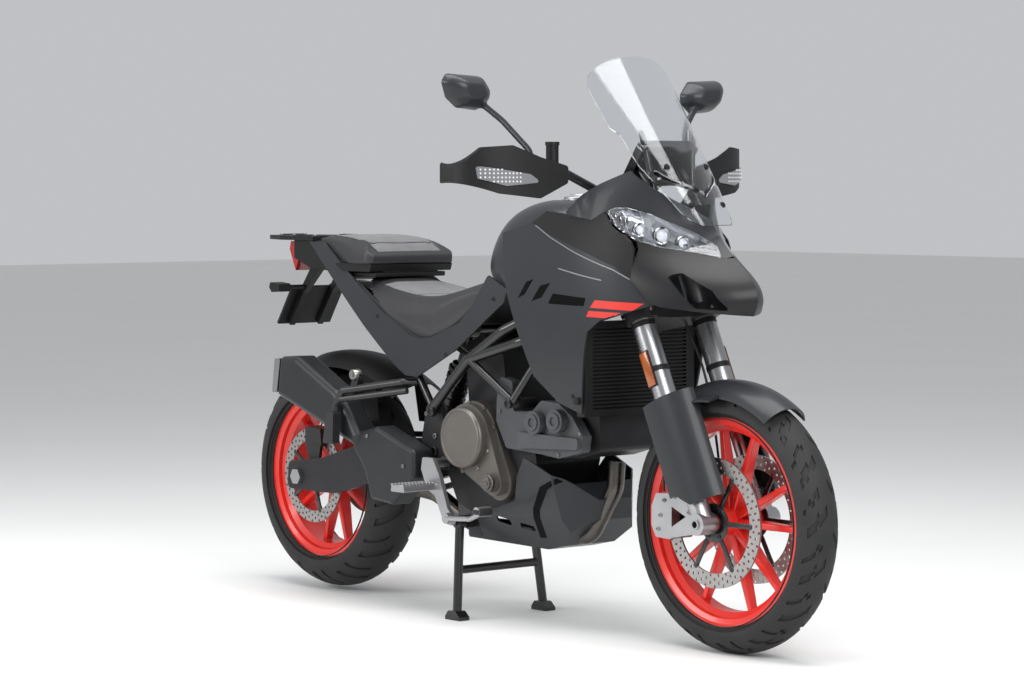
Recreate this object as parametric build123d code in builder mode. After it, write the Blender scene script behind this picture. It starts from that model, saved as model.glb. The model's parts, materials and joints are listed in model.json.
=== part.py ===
# Adventure motorcycle, parked upright on its centre stand: an assembly of separate pieces in millimetres.
# +X points forward, +Y to the rider's left and +Z up.
# The origin is on the ground under the middle of the machine.
import os
from math import cos, radians, sin, sqrt, tan

from build123d import *

# Wheels and stance
WHEELBASE = 1594.0
FRONT_TYRE_R = 325.0
FRONT_TYRE_W = 120.0
FRONT_SEAT_R = 241.3
FRONT_RIM_W = 76.0
REAR_TYRE_R = 318.0
REAR_TYRE_W = 170.0
REAR_SEAT_R = 215.9
REAR_RIM_W = 114.0
REAR_LIFT = 10.0
AXLE_R = 12.5
SPOKE_PAIRS = 5

# Steering and fork
RAKE = 24.5
FORK_OFFSET = 40.0
FORK_HALF = 104.0
SLEEVE_R = 29.0
SLIDER_R = 24.0
HEAD_LOW = 905.0
HEAD_LENGTH = 190.0
STEM_R = 15.0

# Brakes
FRONT_DISC_R = 160.0
FRONT_BAND = 36.0
REAR_DISC_R = 132.5
DISC_T = 5.0

# Clearances
RUN = 0.05
SEAT_GAP = 0.3
MOVE_GAP = 6.0

# Panels
SKIN = 4.0

# Places worked out from the driving sizes
FRONT_X = (WHEELBASE - FRONT_TYRE_R + REAR_TYRE_R) / 2
REAR_X = FRONT_X - WHEELBASE
FRONT_AXLE = Vector(FRONT_X, 0, FRONT_TYRE_R)
REAR_AXLE = Vector(REAR_X, 0, REAR_TYRE_R + REAR_LIFT)
STEER_UP = Vector(-sin(radians(RAKE)), 0, cos(radians(RAKE)))
STEER_FORWARD = Vector(cos(radians(RAKE)), 0, sin(radians(RAKE)))
STEER_GROUND_X = FRONT_X + FRONT_TYRE_R * tan(radians(RAKE)) - FORK_OFFSET / cos(radians(RAKE))
STEER_GROUND = Vector(STEER_GROUND_X, 0, 0)
AXLE_ALONG = (FRONT_AXLE - STEER_GROUND).dot(STEER_UP)

pieces = {}


def keep(node, shape):
    pieces.setdefault(node, []).extend(shape.solids())


def on_steer(along, forward=0.0, side=0.0):
    return STEER_GROUND + STEER_UP * along + STEER_FORWARD * forward + Vector(0, side, 0)


def steer_plane(along):
    return Plane(origin=on_steer(along), x_dir=STEER_FORWARD, z_dir=STEER_UP)


def side_plane(y):
    return Plane.XZ.offset(-y)


def mirrored(shape):
    with BuildPart() as pair:
        add(shape)
        mirror(shape, about=Plane.XZ)
    return pair.part


def tube(points, radius, bend=20.0):
    with BuildPart() as rod:
        with BuildLine() as route:
            if len(points) > 2:
                FilletPolyline(*points, radius=bend)
            else:
                Line(*points)
        with BuildSketch(Plane(origin=route.line @ 0, z_dir=route.line % 0)):
            Circle(radius)
        sweep(path=route.line)
    return rod.part


def plate(outline, y_low, y_high, corner=0.0):
    with BuildPart() as slab:
        with BuildSketch(side_plane(y_high)) as face:
            with BuildLine():
                Polyline(*outline, close=True)
            make_face()
            if corner:
                fillet(face.vertices(), corner)
        extrude(amount=y_high - y_low)
    return slab.part


def capsule(first, first_r, second, second_r):
    start = Vector(*first)
    end = Vector(*second)
    along = (end - start).normalized()
    across = Vector(-along.Y, along.X)
    lean = (first_r - second_r) / (end - start).length
    spread = sqrt(1 - lean * lean)
    upper = along * lean + across * spread
    lower = along * lean - across * spread
    with BuildSketch() as shape:
        with Locations(start):
            Circle(first_r)
        with Locations(end):
            Circle(second_r)
        with BuildLine():
            Polyline(start + upper * first_r, end + upper * second_r, end + lower * second_r,
                     start + lower * first_r,
                     close=True)
        make_face()
    return shape.sketch


def wheel_rim(axle, seat_r, rim_w, hub_half, first_angle):
    half = rim_w / 2
    lip = half + 6
    drop = seat_r - 13
    wall = 6.5
    with BuildPart() as rim:
        with BuildSketch(Plane(origin=axle, x_dir=(0, 1, 0), z_dir=(1, 0, 0))):
            with BuildLine():
                outer = [(lip, seat_r + 15), (half, seat_r + 15), (half, seat_r), (half - 13, seat_r),
                         (half - 22, drop)]
                inner = [(half - 19, drop - wall), (half - 9, seat_r - wall), (half + 1, seat_r - wall + 3),
                         (lip, seat_r + 8)]
                right_outer = [(-y, r) for y, r in reversed(outer)]
                right_inner = [(-y, r) for y, r in reversed(inner)]
                Polyline(*outer, *right_outer, *right_inner, *inner, close=True)
            make_face()
        revolve(axis=Axis(axle, (0, 1, 0)))
        with BuildSketch(Plane(origin=axle + Vector(0, hub_half, 0), x_dir=(1, 0, 0), z_dir=(0, -1, 0))):
            Circle(34)
        extrude(amount=2 * hub_half)
        for pair in range(SPOKE_PAIRS):
            for side in (-1, 1):
                middle = radians(first_angle + pair * 360 / SPOKE_PAIRS)
                tip_angle = middle + side * radians(14.5)
                root_angle = middle + side * radians(16)
                root = axle + Vector(cos(root_angle), 0, sin(root_angle)) * 24
                tip = axle + Vector(cos(tip_angle), 0, sin(tip_angle)) * (drop - 2)
                along = (tip - root).normalized()
                with BuildSketch(Plane(origin=root, x_dir=(0, 1, 0), z_dir=along)):
                    RectangleRounded(46, 21, 6)
                with BuildSketch(Plane(origin=tip, x_dir=(0, 1, 0), z_dir=along)):
                    RectangleRounded(24, 15, 5)
                loft()
        with BuildSketch(Plane(origin=axle + Vector(0, hub_half, 0), x_dir=(1, 0, 0), z_dir=(0, -1, 0))):
            Circle(AXLE_R + RUN)
        extrude(amount=2 * hub_half, mode=Mode.SUBTRACT)
    return rim.part


def tyre(axle, outer_r, width, seat_r, rim_w):
    half = width / 2
    bead = rim_w / 2 - SEAT_GAP
    low = seat_r + SEAT_GAP
    shoulder = outer_r - 0.82 * half
    with BuildPart() as ring:
        with BuildSketch(Plane(origin=axle, x_dir=(0, 1, 0), z_dir=(1, 0, 0))):
            with BuildLine():
                Polyline((-half, shoulder), (-rim_w / 2 - 8, seat_r + 16.5), (-bead, seat_r + 16.5),
                         (-bead, low),
                         (-bead + 8, low), (-bead + 8, seat_r + 18), (-half + 9, shoulder),
                         (-0.55 * half, outer_r - 24), (0.55 * half, outer_r - 24), (half - 9, shoulder),
                         (bead - 8, seat_r + 18), (bead - 8, low), (bead, low), (bead, seat_r + 16.5),
                         (rim_w / 2 + 8, seat_r + 16.5), (half, shoulder))
                ThreePointArc((half, shoulder), (0, outer_r), (-half, shoulder))
            make_face()
        revolve(axis=Axis(axle, (0, 1, 0)))
    return ring.part


def brake_disc(axle, y, outer_r, band, hub_r, arms):
    with BuildPart() as disc:
        with BuildSketch(Plane(origin=axle + Vector(0, y, 0), x_dir=(1, 0, 0), z_dir=(0, -1, 0))):
            Circle(outer_r)
            Circle(outer_r - band, mode=Mode.SUBTRACT)
            Circle(hub_r)
            with PolarLocations(0, arms):
                with Locations(((hub_r + outer_r - band) / 2, 0)):
                    Rectangle(outer_r - band - hub_r + 12, 13)
            Circle(AXLE_R + 10, mode=Mode.SUBTRACT)
        extrude(amount=DISC_T)
    return disc.part


# Front wheel
FRONT_HUB_HALF = 66.0
keep("front_rim", wheel_rim(FRONT_AXLE, FRONT_SEAT_R, FRONT_RIM_W, FRONT_HUB_HALF, 13.3))
keep("front_tyre", tyre(FRONT_AXLE, FRONT_TYRE_R, FRONT_TYRE_W, FRONT_SEAT_R, FRONT_RIM_W))
front_disc = brake_disc(FRONT_AXLE, -FRONT_HUB_HALF, FRONT_DISC_R, FRONT_BAND, 48, 6)
keep("front_discs", mirrored(front_disc))

# Rear wheel
REAR_HUB_HALF = 90.0
keep("rear_rim", wheel_rim(REAR_AXLE, REAR_SEAT_R, REAR_RIM_W, REAR_HUB_HALF, -20))
keep("rear_tyre", tyre(REAR_AXLE, REAR_TYRE_R, REAR_TYRE_W, REAR_SEAT_R, REAR_RIM_W))
keep("rear_disc", brake_disc(REAR_AXLE, -REAR_HUB_HALF, REAR_DISC_R, 32, 45, 5))


# Front fork
FOOT_TOP = AXLE_ALONG + 70
SLEEVE_LOW = 608.0
SLEEVE_TOP = 1128.0
YOKE_LOW_T = 34.0
YOKE_TOP_T = 26.0
HEAD_TOP = HEAD_LOW + HEAD_LENGTH
LEGS = [(FORK_OFFSET, FORK_HALF), (FORK_OFFSET, -FORK_HALF)]
FOOT_INNER = FRONT_HUB_HALF + DISC_T + MOVE_GAP + 3
FOOT_OUTER = 132.0

with BuildPart() as fork_sleeves:
    with BuildSketch(steer_plane(SLEEVE_LOW)):
        with Locations(*LEGS):
            Circle(SLEEVE_R)
    extrude(amount=SLEEVE_TOP - SLEEVE_LOW)
    with BuildSketch(steer_plane(SLEEVE_LOW)):
        with Locations(*LEGS):
            Circle(SLEEVE_R + 2)
    extrude(amount=28)
keep("fork_sleeves", fork_sleeves.part)

with BuildPart() as fork_sliders:
    with BuildSketch(steer_plane(FOOT_TOP)):
        with Locations(*LEGS):
            Circle(SLIDER_R)
    extrude(amount=SLEEVE_LOW - FOOT_TOP)
keep("fork_sliders", fork_sliders.part)

CALIPER_FACE = FRONT_X - 114


def yoke(along, thickness, leg_boss):
    with BuildPart() as clamp:
        with BuildSketch(steer_plane(along)):
            with Locations(*LEGS):
                Circle(leg_boss)
            with BuildLine():
                Polyline((-36, 24), (-36, -24), (FORK_OFFSET - 34, -FORK_HALF),
                         (FORK_OFFSET + 30, -FORK_HALF),
                         (FORK_OFFSET + 18, 0), (FORK_OFFSET + 30, FORK_HALF),
                         (FORK_OFFSET - 34, FORK_HALF), close=True)
            make_face()
            with Locations(*LEGS):
                Circle(SLEEVE_R + RUN, mode=Mode.SUBTRACT)
        extrude(amount=thickness)
    return clamp.part


with BuildPart() as lower_yoke:
    add(yoke(HEAD_LOW - SEAT_GAP - YOKE_LOW_T, YOKE_LOW_T, SLEEVE_R + 11))
    with BuildSketch(steer_plane(HEAD_LOW - SEAT_GAP)):
        Circle(STEM_R)
    extrude(amount=HEAD_LENGTH + 2 * SEAT_GAP + YOKE_TOP_T + 4)
with BuildPart() as upper_yoke:
    add(yoke(HEAD_TOP + SEAT_GAP, YOKE_TOP_T, SLEEVE_R + 9))
    with BuildSketch(steer_plane(HEAD_TOP + SEAT_GAP)):
        Circle(STEM_R + RUN)
    extrude(amount=YOKE_TOP_T, mode=Mode.SUBTRACT)
keep("yokes", lower_yoke.part)
keep("yokes", upper_yoke.part)

with BuildPart() as fork_foot:
    with BuildSketch(steer_plane(AXLE_ALONG)):
        with Locations((FORK_OFFSET, -FORK_HALF)):
            Circle(SLIDER_R + 2)
    extrude(amount=FOOT_TOP - AXLE_ALONG)
    with BuildSketch(Plane(origin=FRONT_AXLE + Vector(0, -FOOT_INNER, 0), x_dir=(1, 0, 0),
                           z_dir=(0, -1, 0))):
        Circle(27)
    extrude(amount=FOOT_OUTER - FOOT_INNER)
    with BuildSketch(side_plane(-FOOT_INNER - 4)):
        with BuildLine():
            Polyline((FRONT_X - 24, FRONT_TYRE_R + 66), (CALIPER_FACE, FRONT_TYRE_R + 62),
                     (CALIPER_FACE, FRONT_TYRE_R + 34), (FRONT_X - 62, FRONT_TYRE_R + 12),
                     (CALIPER_FACE, FRONT_TYRE_R - 18), (CALIPER_FACE, FRONT_TYRE_R - 44),
                     (FRONT_X - 8, FRONT_TYRE_R - 24), (FRONT_X, FRONT_TYRE_R + 20), close=True)
        make_face()
    extrude(amount=22)
    with BuildSketch(side_plane(-FOOT_INNER + 10)):
        with Locations((FRONT_X, FRONT_TYRE_R)):
            Circle(AXLE_R + RUN)
    extrude(amount=FOOT_OUTER - FOOT_INNER + 10, mode=Mode.SUBTRACT)
keep("fork_feet", mirrored(fork_foot.part) - fork_sliders.part)

AXLE_BORE_R = 8.5
AXLE_BORE_DEPTH = 40.0
with BuildPart() as front_axle:
    with BuildSketch(side_plane(FOOT_OUTER + 4)):
        with Locations((FRONT_X, FRONT_TYRE_R)):
            Circle(AXLE_R)
    extrude(amount=2 * FOOT_OUTER + 8)
    with BuildSketch(side_plane(AXLE_BORE_DEPTH - FOOT_OUTER - 4)):
        with Locations((FRONT_X, FRONT_TYRE_R)):
            Circle(AXLE_BORE_R)
    extrude(amount=AXLE_BORE_DEPTH, mode=Mode.SUBTRACT)
keep("fork_feet", front_axle.part)

DISC_MID = FRONT_HUB_HALF + DISC_T / 2
SLOT_HALF = DISC_T / 2 + MOVE_GAP
with BuildPart() as front_caliper:
    with BuildSketch(side_plane(-DISC_MID + 36)) as face:
        with BuildLine():
            Polyline((CALIPER_FACE, FRONT_TYRE_R - 48), (CALIPER_FACE, FRONT_TYRE_R + 66),
                     (CALIPER_FACE - 56, FRONT_TYRE_R + 62), (CALIPER_FACE - 72, FRONT_TYRE_R + 30),
                     (CALIPER_FACE - 72, FRONT_TYRE_R - 18), (CALIPER_FACE - 56, FRONT_TYRE_R - 46),
                     close=True)
        make_face()
        fillet(face.vertices(), 7)
    extrude(amount=72)
    with BuildSketch(side_plane(-DISC_MID + SLOT_HALF)):
        with Locations((FRONT_X, FRONT_TYRE_R)):
            Circle(FRONT_DISC_R + MOVE_GAP)
    extrude(amount=2 * SLOT_HALF, mode=Mode.SUBTRACT)
keep("front_calipers", mirrored(front_caliper.part))


# Front mudguard with its fork shields
def around_front(angle):
    turn = radians(angle)
    return Plane(origin=FRONT_AXLE, x_dir=(0, 1, 0), z_dir=(sin(turn), 0, -cos(turn)))


GUARD_HALF = 70.0
GUARD_R = FRONT_TYRE_R + 22
SHIELD_LOW = AXLE_ALONG + 48
SHIELD_TOP = AXLE_ALONG + 325
with BuildPart() as front_mudguard:
    with BuildSketch(around_front(126)):
        with BuildLine():
            ThreePointArc((-GUARD_HALF, GUARD_R - 44), (0, GUARD_R), (GUARD_HALF, GUARD_R - 44))
            Line((GUARD_HALF, GUARD_R - 44), (GUARD_HALF - SKIN, GUARD_R - 44))
            ThreePointArc((GUARD_HALF - SKIN, GUARD_R - 44), (0, GUARD_R - SKIN),
                          (SKIN - GUARD_HALF, GUARD_R - 44))
            Line((SKIN - GUARD_HALF, GUARD_R - 44), (-GUARD_HALF, GUARD_R - 44))
        make_face()
    revolve(axis=Axis(FRONT_AXLE, (0, 1, 0)), revolution_arc=70)
    for side in (-1, 1):
        with BuildSketch(steer_plane(SHIELD_LOW)):
            with BuildLine():
                face = Spline((-14, side * 137), (36, side * 143), (82, side * 134), (112, side * 108),
                              (122, side * (FOOT_INNER + 4)))
                lining = Spline((-14, side * 133), (36, side * 139), (80, side * 130.5),
                                (108.5, side * 106),
                                (117.5, side * (FOOT_INNER + 4)))
                Line(face @ 0, lining @ 0)
                Line(face @ 1, lining @ 1)
            make_face()
        extrude(amount=SHIELD_TOP - SHIELD_LOW)
        with BuildSketch(around_front(104)):
            with BuildLine():
                Polyline((side * (GUARD_HALF - 3), GUARD_R - 44), (side * 100, GUARD_R - 52),
                         (side * 100, GUARD_R - 47), (side * (GUARD_HALF - 3), GUARD_R - 34), close=True)
            make_face()
        revolve(axis=Axis(FRONT_AXLE, (0, 1, 0)), revolution_arc=16)
        with BuildSketch(steer_plane(AXLE_ALONG + 150)):
            with Locations((FORK_OFFSET, side * (FORK_HALF + 28))):
                Rectangle(26, 12)
        extrude(amount=60)
    with BuildSketch(side_plane(160)):
        with BuildLine():
            Polyline((FRONT_X - 150, FRONT_TYRE_R + 30), (FRONT_X - 62, FRONT_TYRE_R + 66),
                     (FRONT_X + 10, FRONT_TYRE_R + 42), (FRONT_X + 120, FRONT_TYRE_R + 40),
                     (FRONT_X + 120, FRONT_TYRE_R - 60), (FRONT_X - 150, FRONT_TYRE_R - 60), close=True)
        make_face()
    extrude(amount=320, mode=Mode.SUBTRACT)
keep("front_mudguard", front_mudguard.part - fork_sliders.part)

# Handlebar and what is clamped on it
BAR_R = 11.0
BAR_MIDDLE = on_steer(1228, 7)
BAR_INNER = BAR_MIDDLE + Vector(0, 70, 0)
BAR_BEND = BAR_MIDDLE + Vector(-23, 190, 58)
BAR_END = BAR_MIDDLE + Vector(-145, 445, 52)
BAR_OUT = (BAR_END - BAR_BEND).normalized()
BAR_AHEAD = BAR_OUT.cross(Vector(0, 0, 1)).normalized()
BAR_ABOVE = BAR_AHEAD.cross(BAR_OUT).normalized()


def on_bar(out, ahead=0.0, above=0.0):
    return BAR_BEND + BAR_OUT * out + BAR_AHEAD * ahead + BAR_ABOVE * above


def other_side(point):
    return Vector(point.X, -point.Y, point.Z)


def bar_sleeve(start, length, radius, bore=BAR_R + RUN):
    with BuildPart() as sleeve:
        with BuildSketch(Plane(origin=on_bar(start), z_dir=BAR_OUT)):
            Circle(radius)
            if bore:
                Circle(bore, mode=Mode.SUBTRACT)
        extrude(amount=length)
    return sleeve.part


BAR_LENGTH = (BAR_END - BAR_BEND).length
bar_points = [BAR_END, BAR_BEND, BAR_INNER, other_side(BAR_INNER), other_side(BAR_BEND),
              other_side(BAR_END)]
keep("handlebar", tube(bar_points, BAR_R, 55))

RISER_Y = 36.0
with BuildPart() as bar_clamps:
    for side in (-1, 1):
        with BuildSketch(steer_plane(HEAD_TOP + SEAT_GAP + YOKE_TOP_T)):
            with Locations((7, side * RISER_Y)):
                Circle(15)
        extrude(amount=1228 - HEAD_TOP - SEAT_GAP - YOKE_TOP_T)
        with BuildSketch(side_plane(side * RISER_Y + 17)):
            with Locations((BAR_MIDDLE.X, BAR_MIDDLE.Z)):
                Circle(21)
        extrude(amount=34)
        with BuildSketch(side_plane(side * RISER_Y + 17)):
            with Locations((BAR_MIDDLE.X, BAR_MIDDLE.Z)):
                Circle(BAR_R + RUN)
        extrude(amount=34, mode=Mode.SUBTRACT)
keep("yokes", bar_clamps.part)

GRIP_START = 150.0
GRIP_LENGTH = 118.0
keep("grips", mirrored(bar_sleeve(GRIP_START, GRIP_LENGTH, 16.5)))
with BuildPart() as bar_end:
    add(bar_sleeve(GRIP_START + GRIP_LENGTH + 1, BAR_LENGTH - GRIP_START - GRIP_LENGTH - 1, 17))
    add(bar_sleeve(BAR_LENGTH, 22, 17, 0))
keep("handlebar", mirrored(bar_end.part))

with BuildPart() as switchgear:
    add(bar_sleeve(GRIP_START - 46, 45, 22))
    add(bar_sleeve(GRIP_START - 84, 40, 19))
    add(tube([on_bar(GRIP_START - 69, 15), on_bar(GRIP_START - 69, 42)], 14))
keep("switchgear", mirrored(switchgear.part))

lever_route = [on_bar(GRIP_START - 69, 48, -2), on_bar(GRIP_START - 20, 52, -2),
               on_bar(GRIP_START + 40, 42, -4),
               on_bar(GRIP_START + 105, 48, -8)]
keep("handlebar", mirrored(tube(lever_route, 5.5, 40)))

RESERVOIR_OUT = 24.0
RESERVOIR = on_bar(RESERVOIR_OUT, -10, 22)
with BuildPart() as reservoir:
    with BuildSketch(Plane(origin=RESERVOIR)):
        Circle(16)
    extrude(amount=44)
    with BuildSketch(Plane(origin=RESERVOIR + Vector(0, 0, 44))):
        Circle(18)
    extrude(amount=9)
    add(tube([on_bar(RESERVOIR_OUT, -4, 11), RESERVOIR + Vector(0, 0, 4)], 6))
    add(bar_sleeve(RESERVOIR_OUT - 8, 16, 16))
keep("switchgear", mirrored(reservoir.part))

# Mirrors
MIRROR = Vector(262, 402, 1376)
MIRROR_OUTLINE = [(-72, 4), (-44, 40), (62, 45), (76, 24), (62, -16), (30, -40), (-36, -46), (-68, -20)]
MIRROR_DEPTH = 52.0


def mirror_face(ahead, share, corner):
    with BuildSketch(Plane(origin=MIRROR + Vector(ahead, 0, 0), x_dir=(0, 1, 0), z_dir=(1, 0, 0))) as face:
        with BuildLine():
            Polyline(*[(out * share, rise * share) for out, rise in MIRROR_OUTLINE], close=True)
        make_face()
        fillet(face.vertices(), corner)
    return face.sketch


stem_foot = on_bar(GRIP_START - 69, 0, 19.8)
stem_route = [stem_foot, on_bar(GRIP_START - 66, -2, 54), MIRROR + Vector(26, -84, -70),
              MIRROR + Vector(2, -30, -24)]
with BuildPart() as mirror_stem:
    with BuildLine() as route:
        FilletPolyline(*stem_route, radius=26)
    start = route.line % 0
    with BuildSketch(Plane(origin=route.line @ 0, x_dir=start.cross(Vector(1, 0, 0)), z_dir=start)):
        SlotOverall(21, 11)
    sweep(path=route.line)
with BuildPart() as mirror_shell:
    add(mirror_face(-20, 1.0, 14))
    add(mirror_face(8, 0.86, 12))
    add(mirror_face(MIRROR_DEPTH - 20, 0.42, 6))
    loft()
    add(mirror_stem.part)
keep("mirrors", mirrored(mirror_shell.part))
with BuildPart() as mirror_glass:
    add(mirror_face(-20 - SEAT_GAP, 0.92, 12))
    extrude(amount=3, dir=(-1, 0, 0))
keep("mirror_glasses", mirrored(mirror_glass.part))


# Handguards with their lamps
def guard_band(gap, thickness):
    with BuildPart() as band:
        with BuildSketch(Plane.XY.offset(1060)):
            with BuildLine():
                outer = Spline((BAR_END.X - 14 - gap, BAR_END.Y + 30), (338 + gap, 458 + gap),
                               (400 + gap, 356),
                               (430 + gap, 218))
                inner = Spline((BAR_END.X - 14 - gap, BAR_END.Y + 30 - thickness),
                               (338 + gap - thickness, 456 + gap - thickness), (400 + gap - thickness, 354),
                               (430 + gap - thickness, 218))
                Line(outer @ 0, inner @ 0)
                Line(outer @ 1, inner @ 1)
            make_face()
        extrude(amount=220)
    return band.part


def seen_from_front(outline, corner, depth=600):
    with BuildPart() as prism:
        with BuildSketch(Plane(origin=(150, 0, 0), x_dir=(0, 1, 0), z_dir=(1, 0, 0))) as face:
            with BuildLine():
                Polyline(*outline, close=True)
            make_face()
            fillet(face.vertices(), corner)
        extrude(amount=depth)
    return prism.part


GUARD_OUTLINE = [(478, 1152), (478, 1192), (440, 1238), (372, 1243), (300, 1214), (222, 1192),
                 (222, 1150), (300, 1112), (400, 1124)]
LAMP_OUTLINE = [(448, 1160), (452, 1192), (330, 1172), (300, 1152), (390, 1143)]
handguard = (guard_band(0, SKIN + 1) & seen_from_front(GUARD_OUTLINE, 9)) - bar_end.part
keep("handguards", mirrored(handguard))
lamp = (guard_band(SEAT_GAP + 4, 4) & seen_from_front(LAMP_OUTLINE, 5)) - handguard
keep("front_indicators", mirrored(lamp))


# Frame: head tube and trellis
HEAD_R = 31.0
TRELLIS_R = 14.0
BRACE_R = 11.0
PIVOT = Vector(-222, 0, 435)
NODE_A = Vector(-45, -150, 690)
NODE_B = Vector(-205, -150, 545)
NODE_M = Vector(149, -165, 590)
HEAD_UPPER = on_steer(HEAD_TOP - 45)
HEAD_LOWER = on_steer(HEAD_LOW + 38)
NODE_N = Vector(262, -112, 778)


def main_tubes(radius):
    return (
        tube([NODE_B, NODE_A, Vector(92, -150, 768), HEAD_UPPER + Vector(0, -14, 0)], radius, 60)
        + tube([NODE_A, Vector(158, -150, 742), HEAD_LOWER + Vector(0, -14, 0)], radius, 60)
    )


with BuildPart() as frame_trellis:
    with BuildSketch(steer_plane(HEAD_LOW)):
        Circle(HEAD_R)
    extrude(amount=HEAD_LENGTH)
    right_half = (
        main_tubes(TRELLIS_R)
        + tube([NODE_A, NODE_M], BRACE_R)
        + tube([NODE_M, NODE_N], BRACE_R)
    )
    add(mirrored(right_half))
    with BuildSketch(steer_plane(HEAD_LOW)):
        Circle(STEM_R + RUN)
    extrude(amount=HEAD_LENGTH, mode=Mode.SUBTRACT)
keep("frame_trellis", frame_trellis.part)

PLATE_OUT = -NODE_B.Y - TRELLIS_R - SEAT_GAP
PLATE_IN = PLATE_OUT - 15
PIVOT_R = 11.0
frame_plate_outline = [(-238, 562), (-182, 562), (-160, 500), (-140, 440), (-140, 392), (-215, 388),
                       (-258, 410), (-262, 460)]
with BuildPart() as frame_plate:
    add(plate(frame_plate_outline, -PLATE_OUT, -PLATE_IN, 12))
    with BuildSketch(side_plane(-PLATE_IN)):
        with Locations((PIVOT.X, PIVOT.Z)):
            Circle(PIVOT_R + RUN)
    extrude(amount=PLATE_OUT - PLATE_IN, mode=Mode.SUBTRACT)
frame_plates = mirrored(frame_plate.part)
keep("frame_plates", frame_plates)

with BuildPart() as pivot_spindle:
    with BuildSketch(side_plane(PLATE_OUT + 6)):
        with Locations((PIVOT.X, PIVOT.Z)):
            Circle(PIVOT_R)
    extrude(amount=2 * PLATE_OUT + 12)
keep("frame_plates", pivot_spindle.part)

# Engine: crankcase, two cylinders and their covers
CASE_HALF = 110.0
SPROCKET_X = -140.0
SPROCKET_Z = 430.0
CHAIN_Y = 100.0
case_outline = [(-186, 480), (-130, 556), (30, 575), (130, 565), (165, 500), (180, 430), (150, 330),
                (60, 288), (-60, 278),
                (-140, 305), (-186, 390)]
front_head_outline = [(140, 445), (140, 572), (290, 598), (398, 588), (408, 474), (330, 452)]
rear_head_outline = [(-122, 545), (36, 560), (14, 716), (-66, 752), (-140, 724)]
with BuildPart() as engine_block:
    add(plate(case_outline, -CASE_HALF, CASE_HALF, 18))
    add(plate(front_head_outline, -92, 92, 14))
    add(plate(rear_head_outline, -84, 84, 14))
    for side in (-1, 1):
        with BuildSketch(side_plane(max(side * 92, side * (-NODE_M.Y - BRACE_R - SEAT_GAP)))):
            with Locations((NODE_M.X, NODE_M.Z - 4)):
                Circle(13)
        extrude(amount=-NODE_M.Y - BRACE_R - SEAT_GAP - 92)
        with BuildSketch(side_plane(max(side * 90, side * (PLATE_IN - SEAT_GAP)))):
            with Locations((-172, 470)):
                Circle(14)
        extrude(amount=PLATE_IN - SEAT_GAP - 90)
    with BuildSketch(side_plane(CASE_HALF + 20)):
        with BuildLine():
            Polyline((-240, 500), (-84, 500), (-84, 364), (-240, 364), close=True)
        make_face()
    extrude(amount=CASE_HALF + 20 - CHAIN_Y + 16, mode=Mode.SUBTRACT)
    with BuildSketch(side_plane(PLATE_IN - SEAT_GAP)):
        with Locations((-160, 530)):
            Circle(12)
    extrude(amount=PLATE_IN - SEAT_GAP - CASE_HALF + 8)
keep("engine_block", engine_block.part - frame_trellis.part)

CLUTCH_X = -43.0
CLUTCH_Z = 486.0
CLUTCH_R = 88.0
FILLER = (62, 374)
with BuildPart() as clutch_cover:
    with BuildSketch(side_plane(-CASE_HALF - SEAT_GAP)):
        add(capsule((CLUTCH_X, CLUTCH_Z), CLUTCH_R + 6, FILLER, 47))
    extrude(amount=26)
    with BuildSketch(side_plane(-CASE_HALF - SEAT_GAP - 26)):
        add(capsule((CLUTCH_X, CLUTCH_Z), CLUTCH_R, FILLER, 34))
    extrude(amount=22)
    with BuildSketch(side_plane(-CASE_HALF - SEAT_GAP - 48)):
        with Locations((CLUTCH_X, CLUTCH_Z)):
            Circle(CLUTCH_R - 8)
    extrude(amount=26)
    fillet(clutch_cover.faces().sort_by(Axis.Y)[0].edges(), 12)
    with BuildSketch(side_plane(-CASE_HALF - SEAT_GAP - 47)):
        with Locations(FILLER):
            Circle(24)
    extrude(amount=14)
    with BuildSketch(side_plane(-CASE_HALF - SEAT_GAP - 60)):
        with Locations(FILLER):
            RegularPolygon(17, 6)
    extrude(amount=7)
keep("engine_covers", clutch_cover.part)

with BuildPart() as alternator_cover:
    with BuildSketch(side_plane(CASE_HALF + SEAT_GAP + 24)):
        add(capsule((20, 430), 88, (-40, 520), 34))
    extrude(amount=24)
    with BuildSketch(side_plane(CASE_HALF + SEAT_GAP + 46)):
        with Locations((20, 430)):
            Circle(74)
    extrude(amount=24)
    fillet(alternator_cover.faces().sort_by(Axis.Y)[-1].edges(), 10)
keep("engine_covers", alternator_cover.part)

belt_outline = [(94, 466), (240, 458), (300, 452), (386, 472), (392, 512), (352, 560), (300, 592),
                (232, 596), (196, 566),
                (122, 562), (118, 640), (70, 650), (56, 590), (54, 534)]
with BuildPart() as belt_cover:
    add(plate(belt_outline, -140, -CASE_HALF - SEAT_GAP, 10))
    with BuildSketch(side_plane(-138)):
        with Locations((222, 540), (306, 548)):
            Circle(30)
    extrude(amount=24)
    with BuildSketch(side_plane(-161)):
        with Locations((222, 540), (306, 548)):
            Circle(21)
            Circle(12, mode=Mode.SUBTRACT)
    extrude(amount=5)
    add(plate([(150, 470), (384, 480), (384, 508), (150, 512)], -152, -138, 8))
keep("belt_cover", belt_cover.part)

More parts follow.
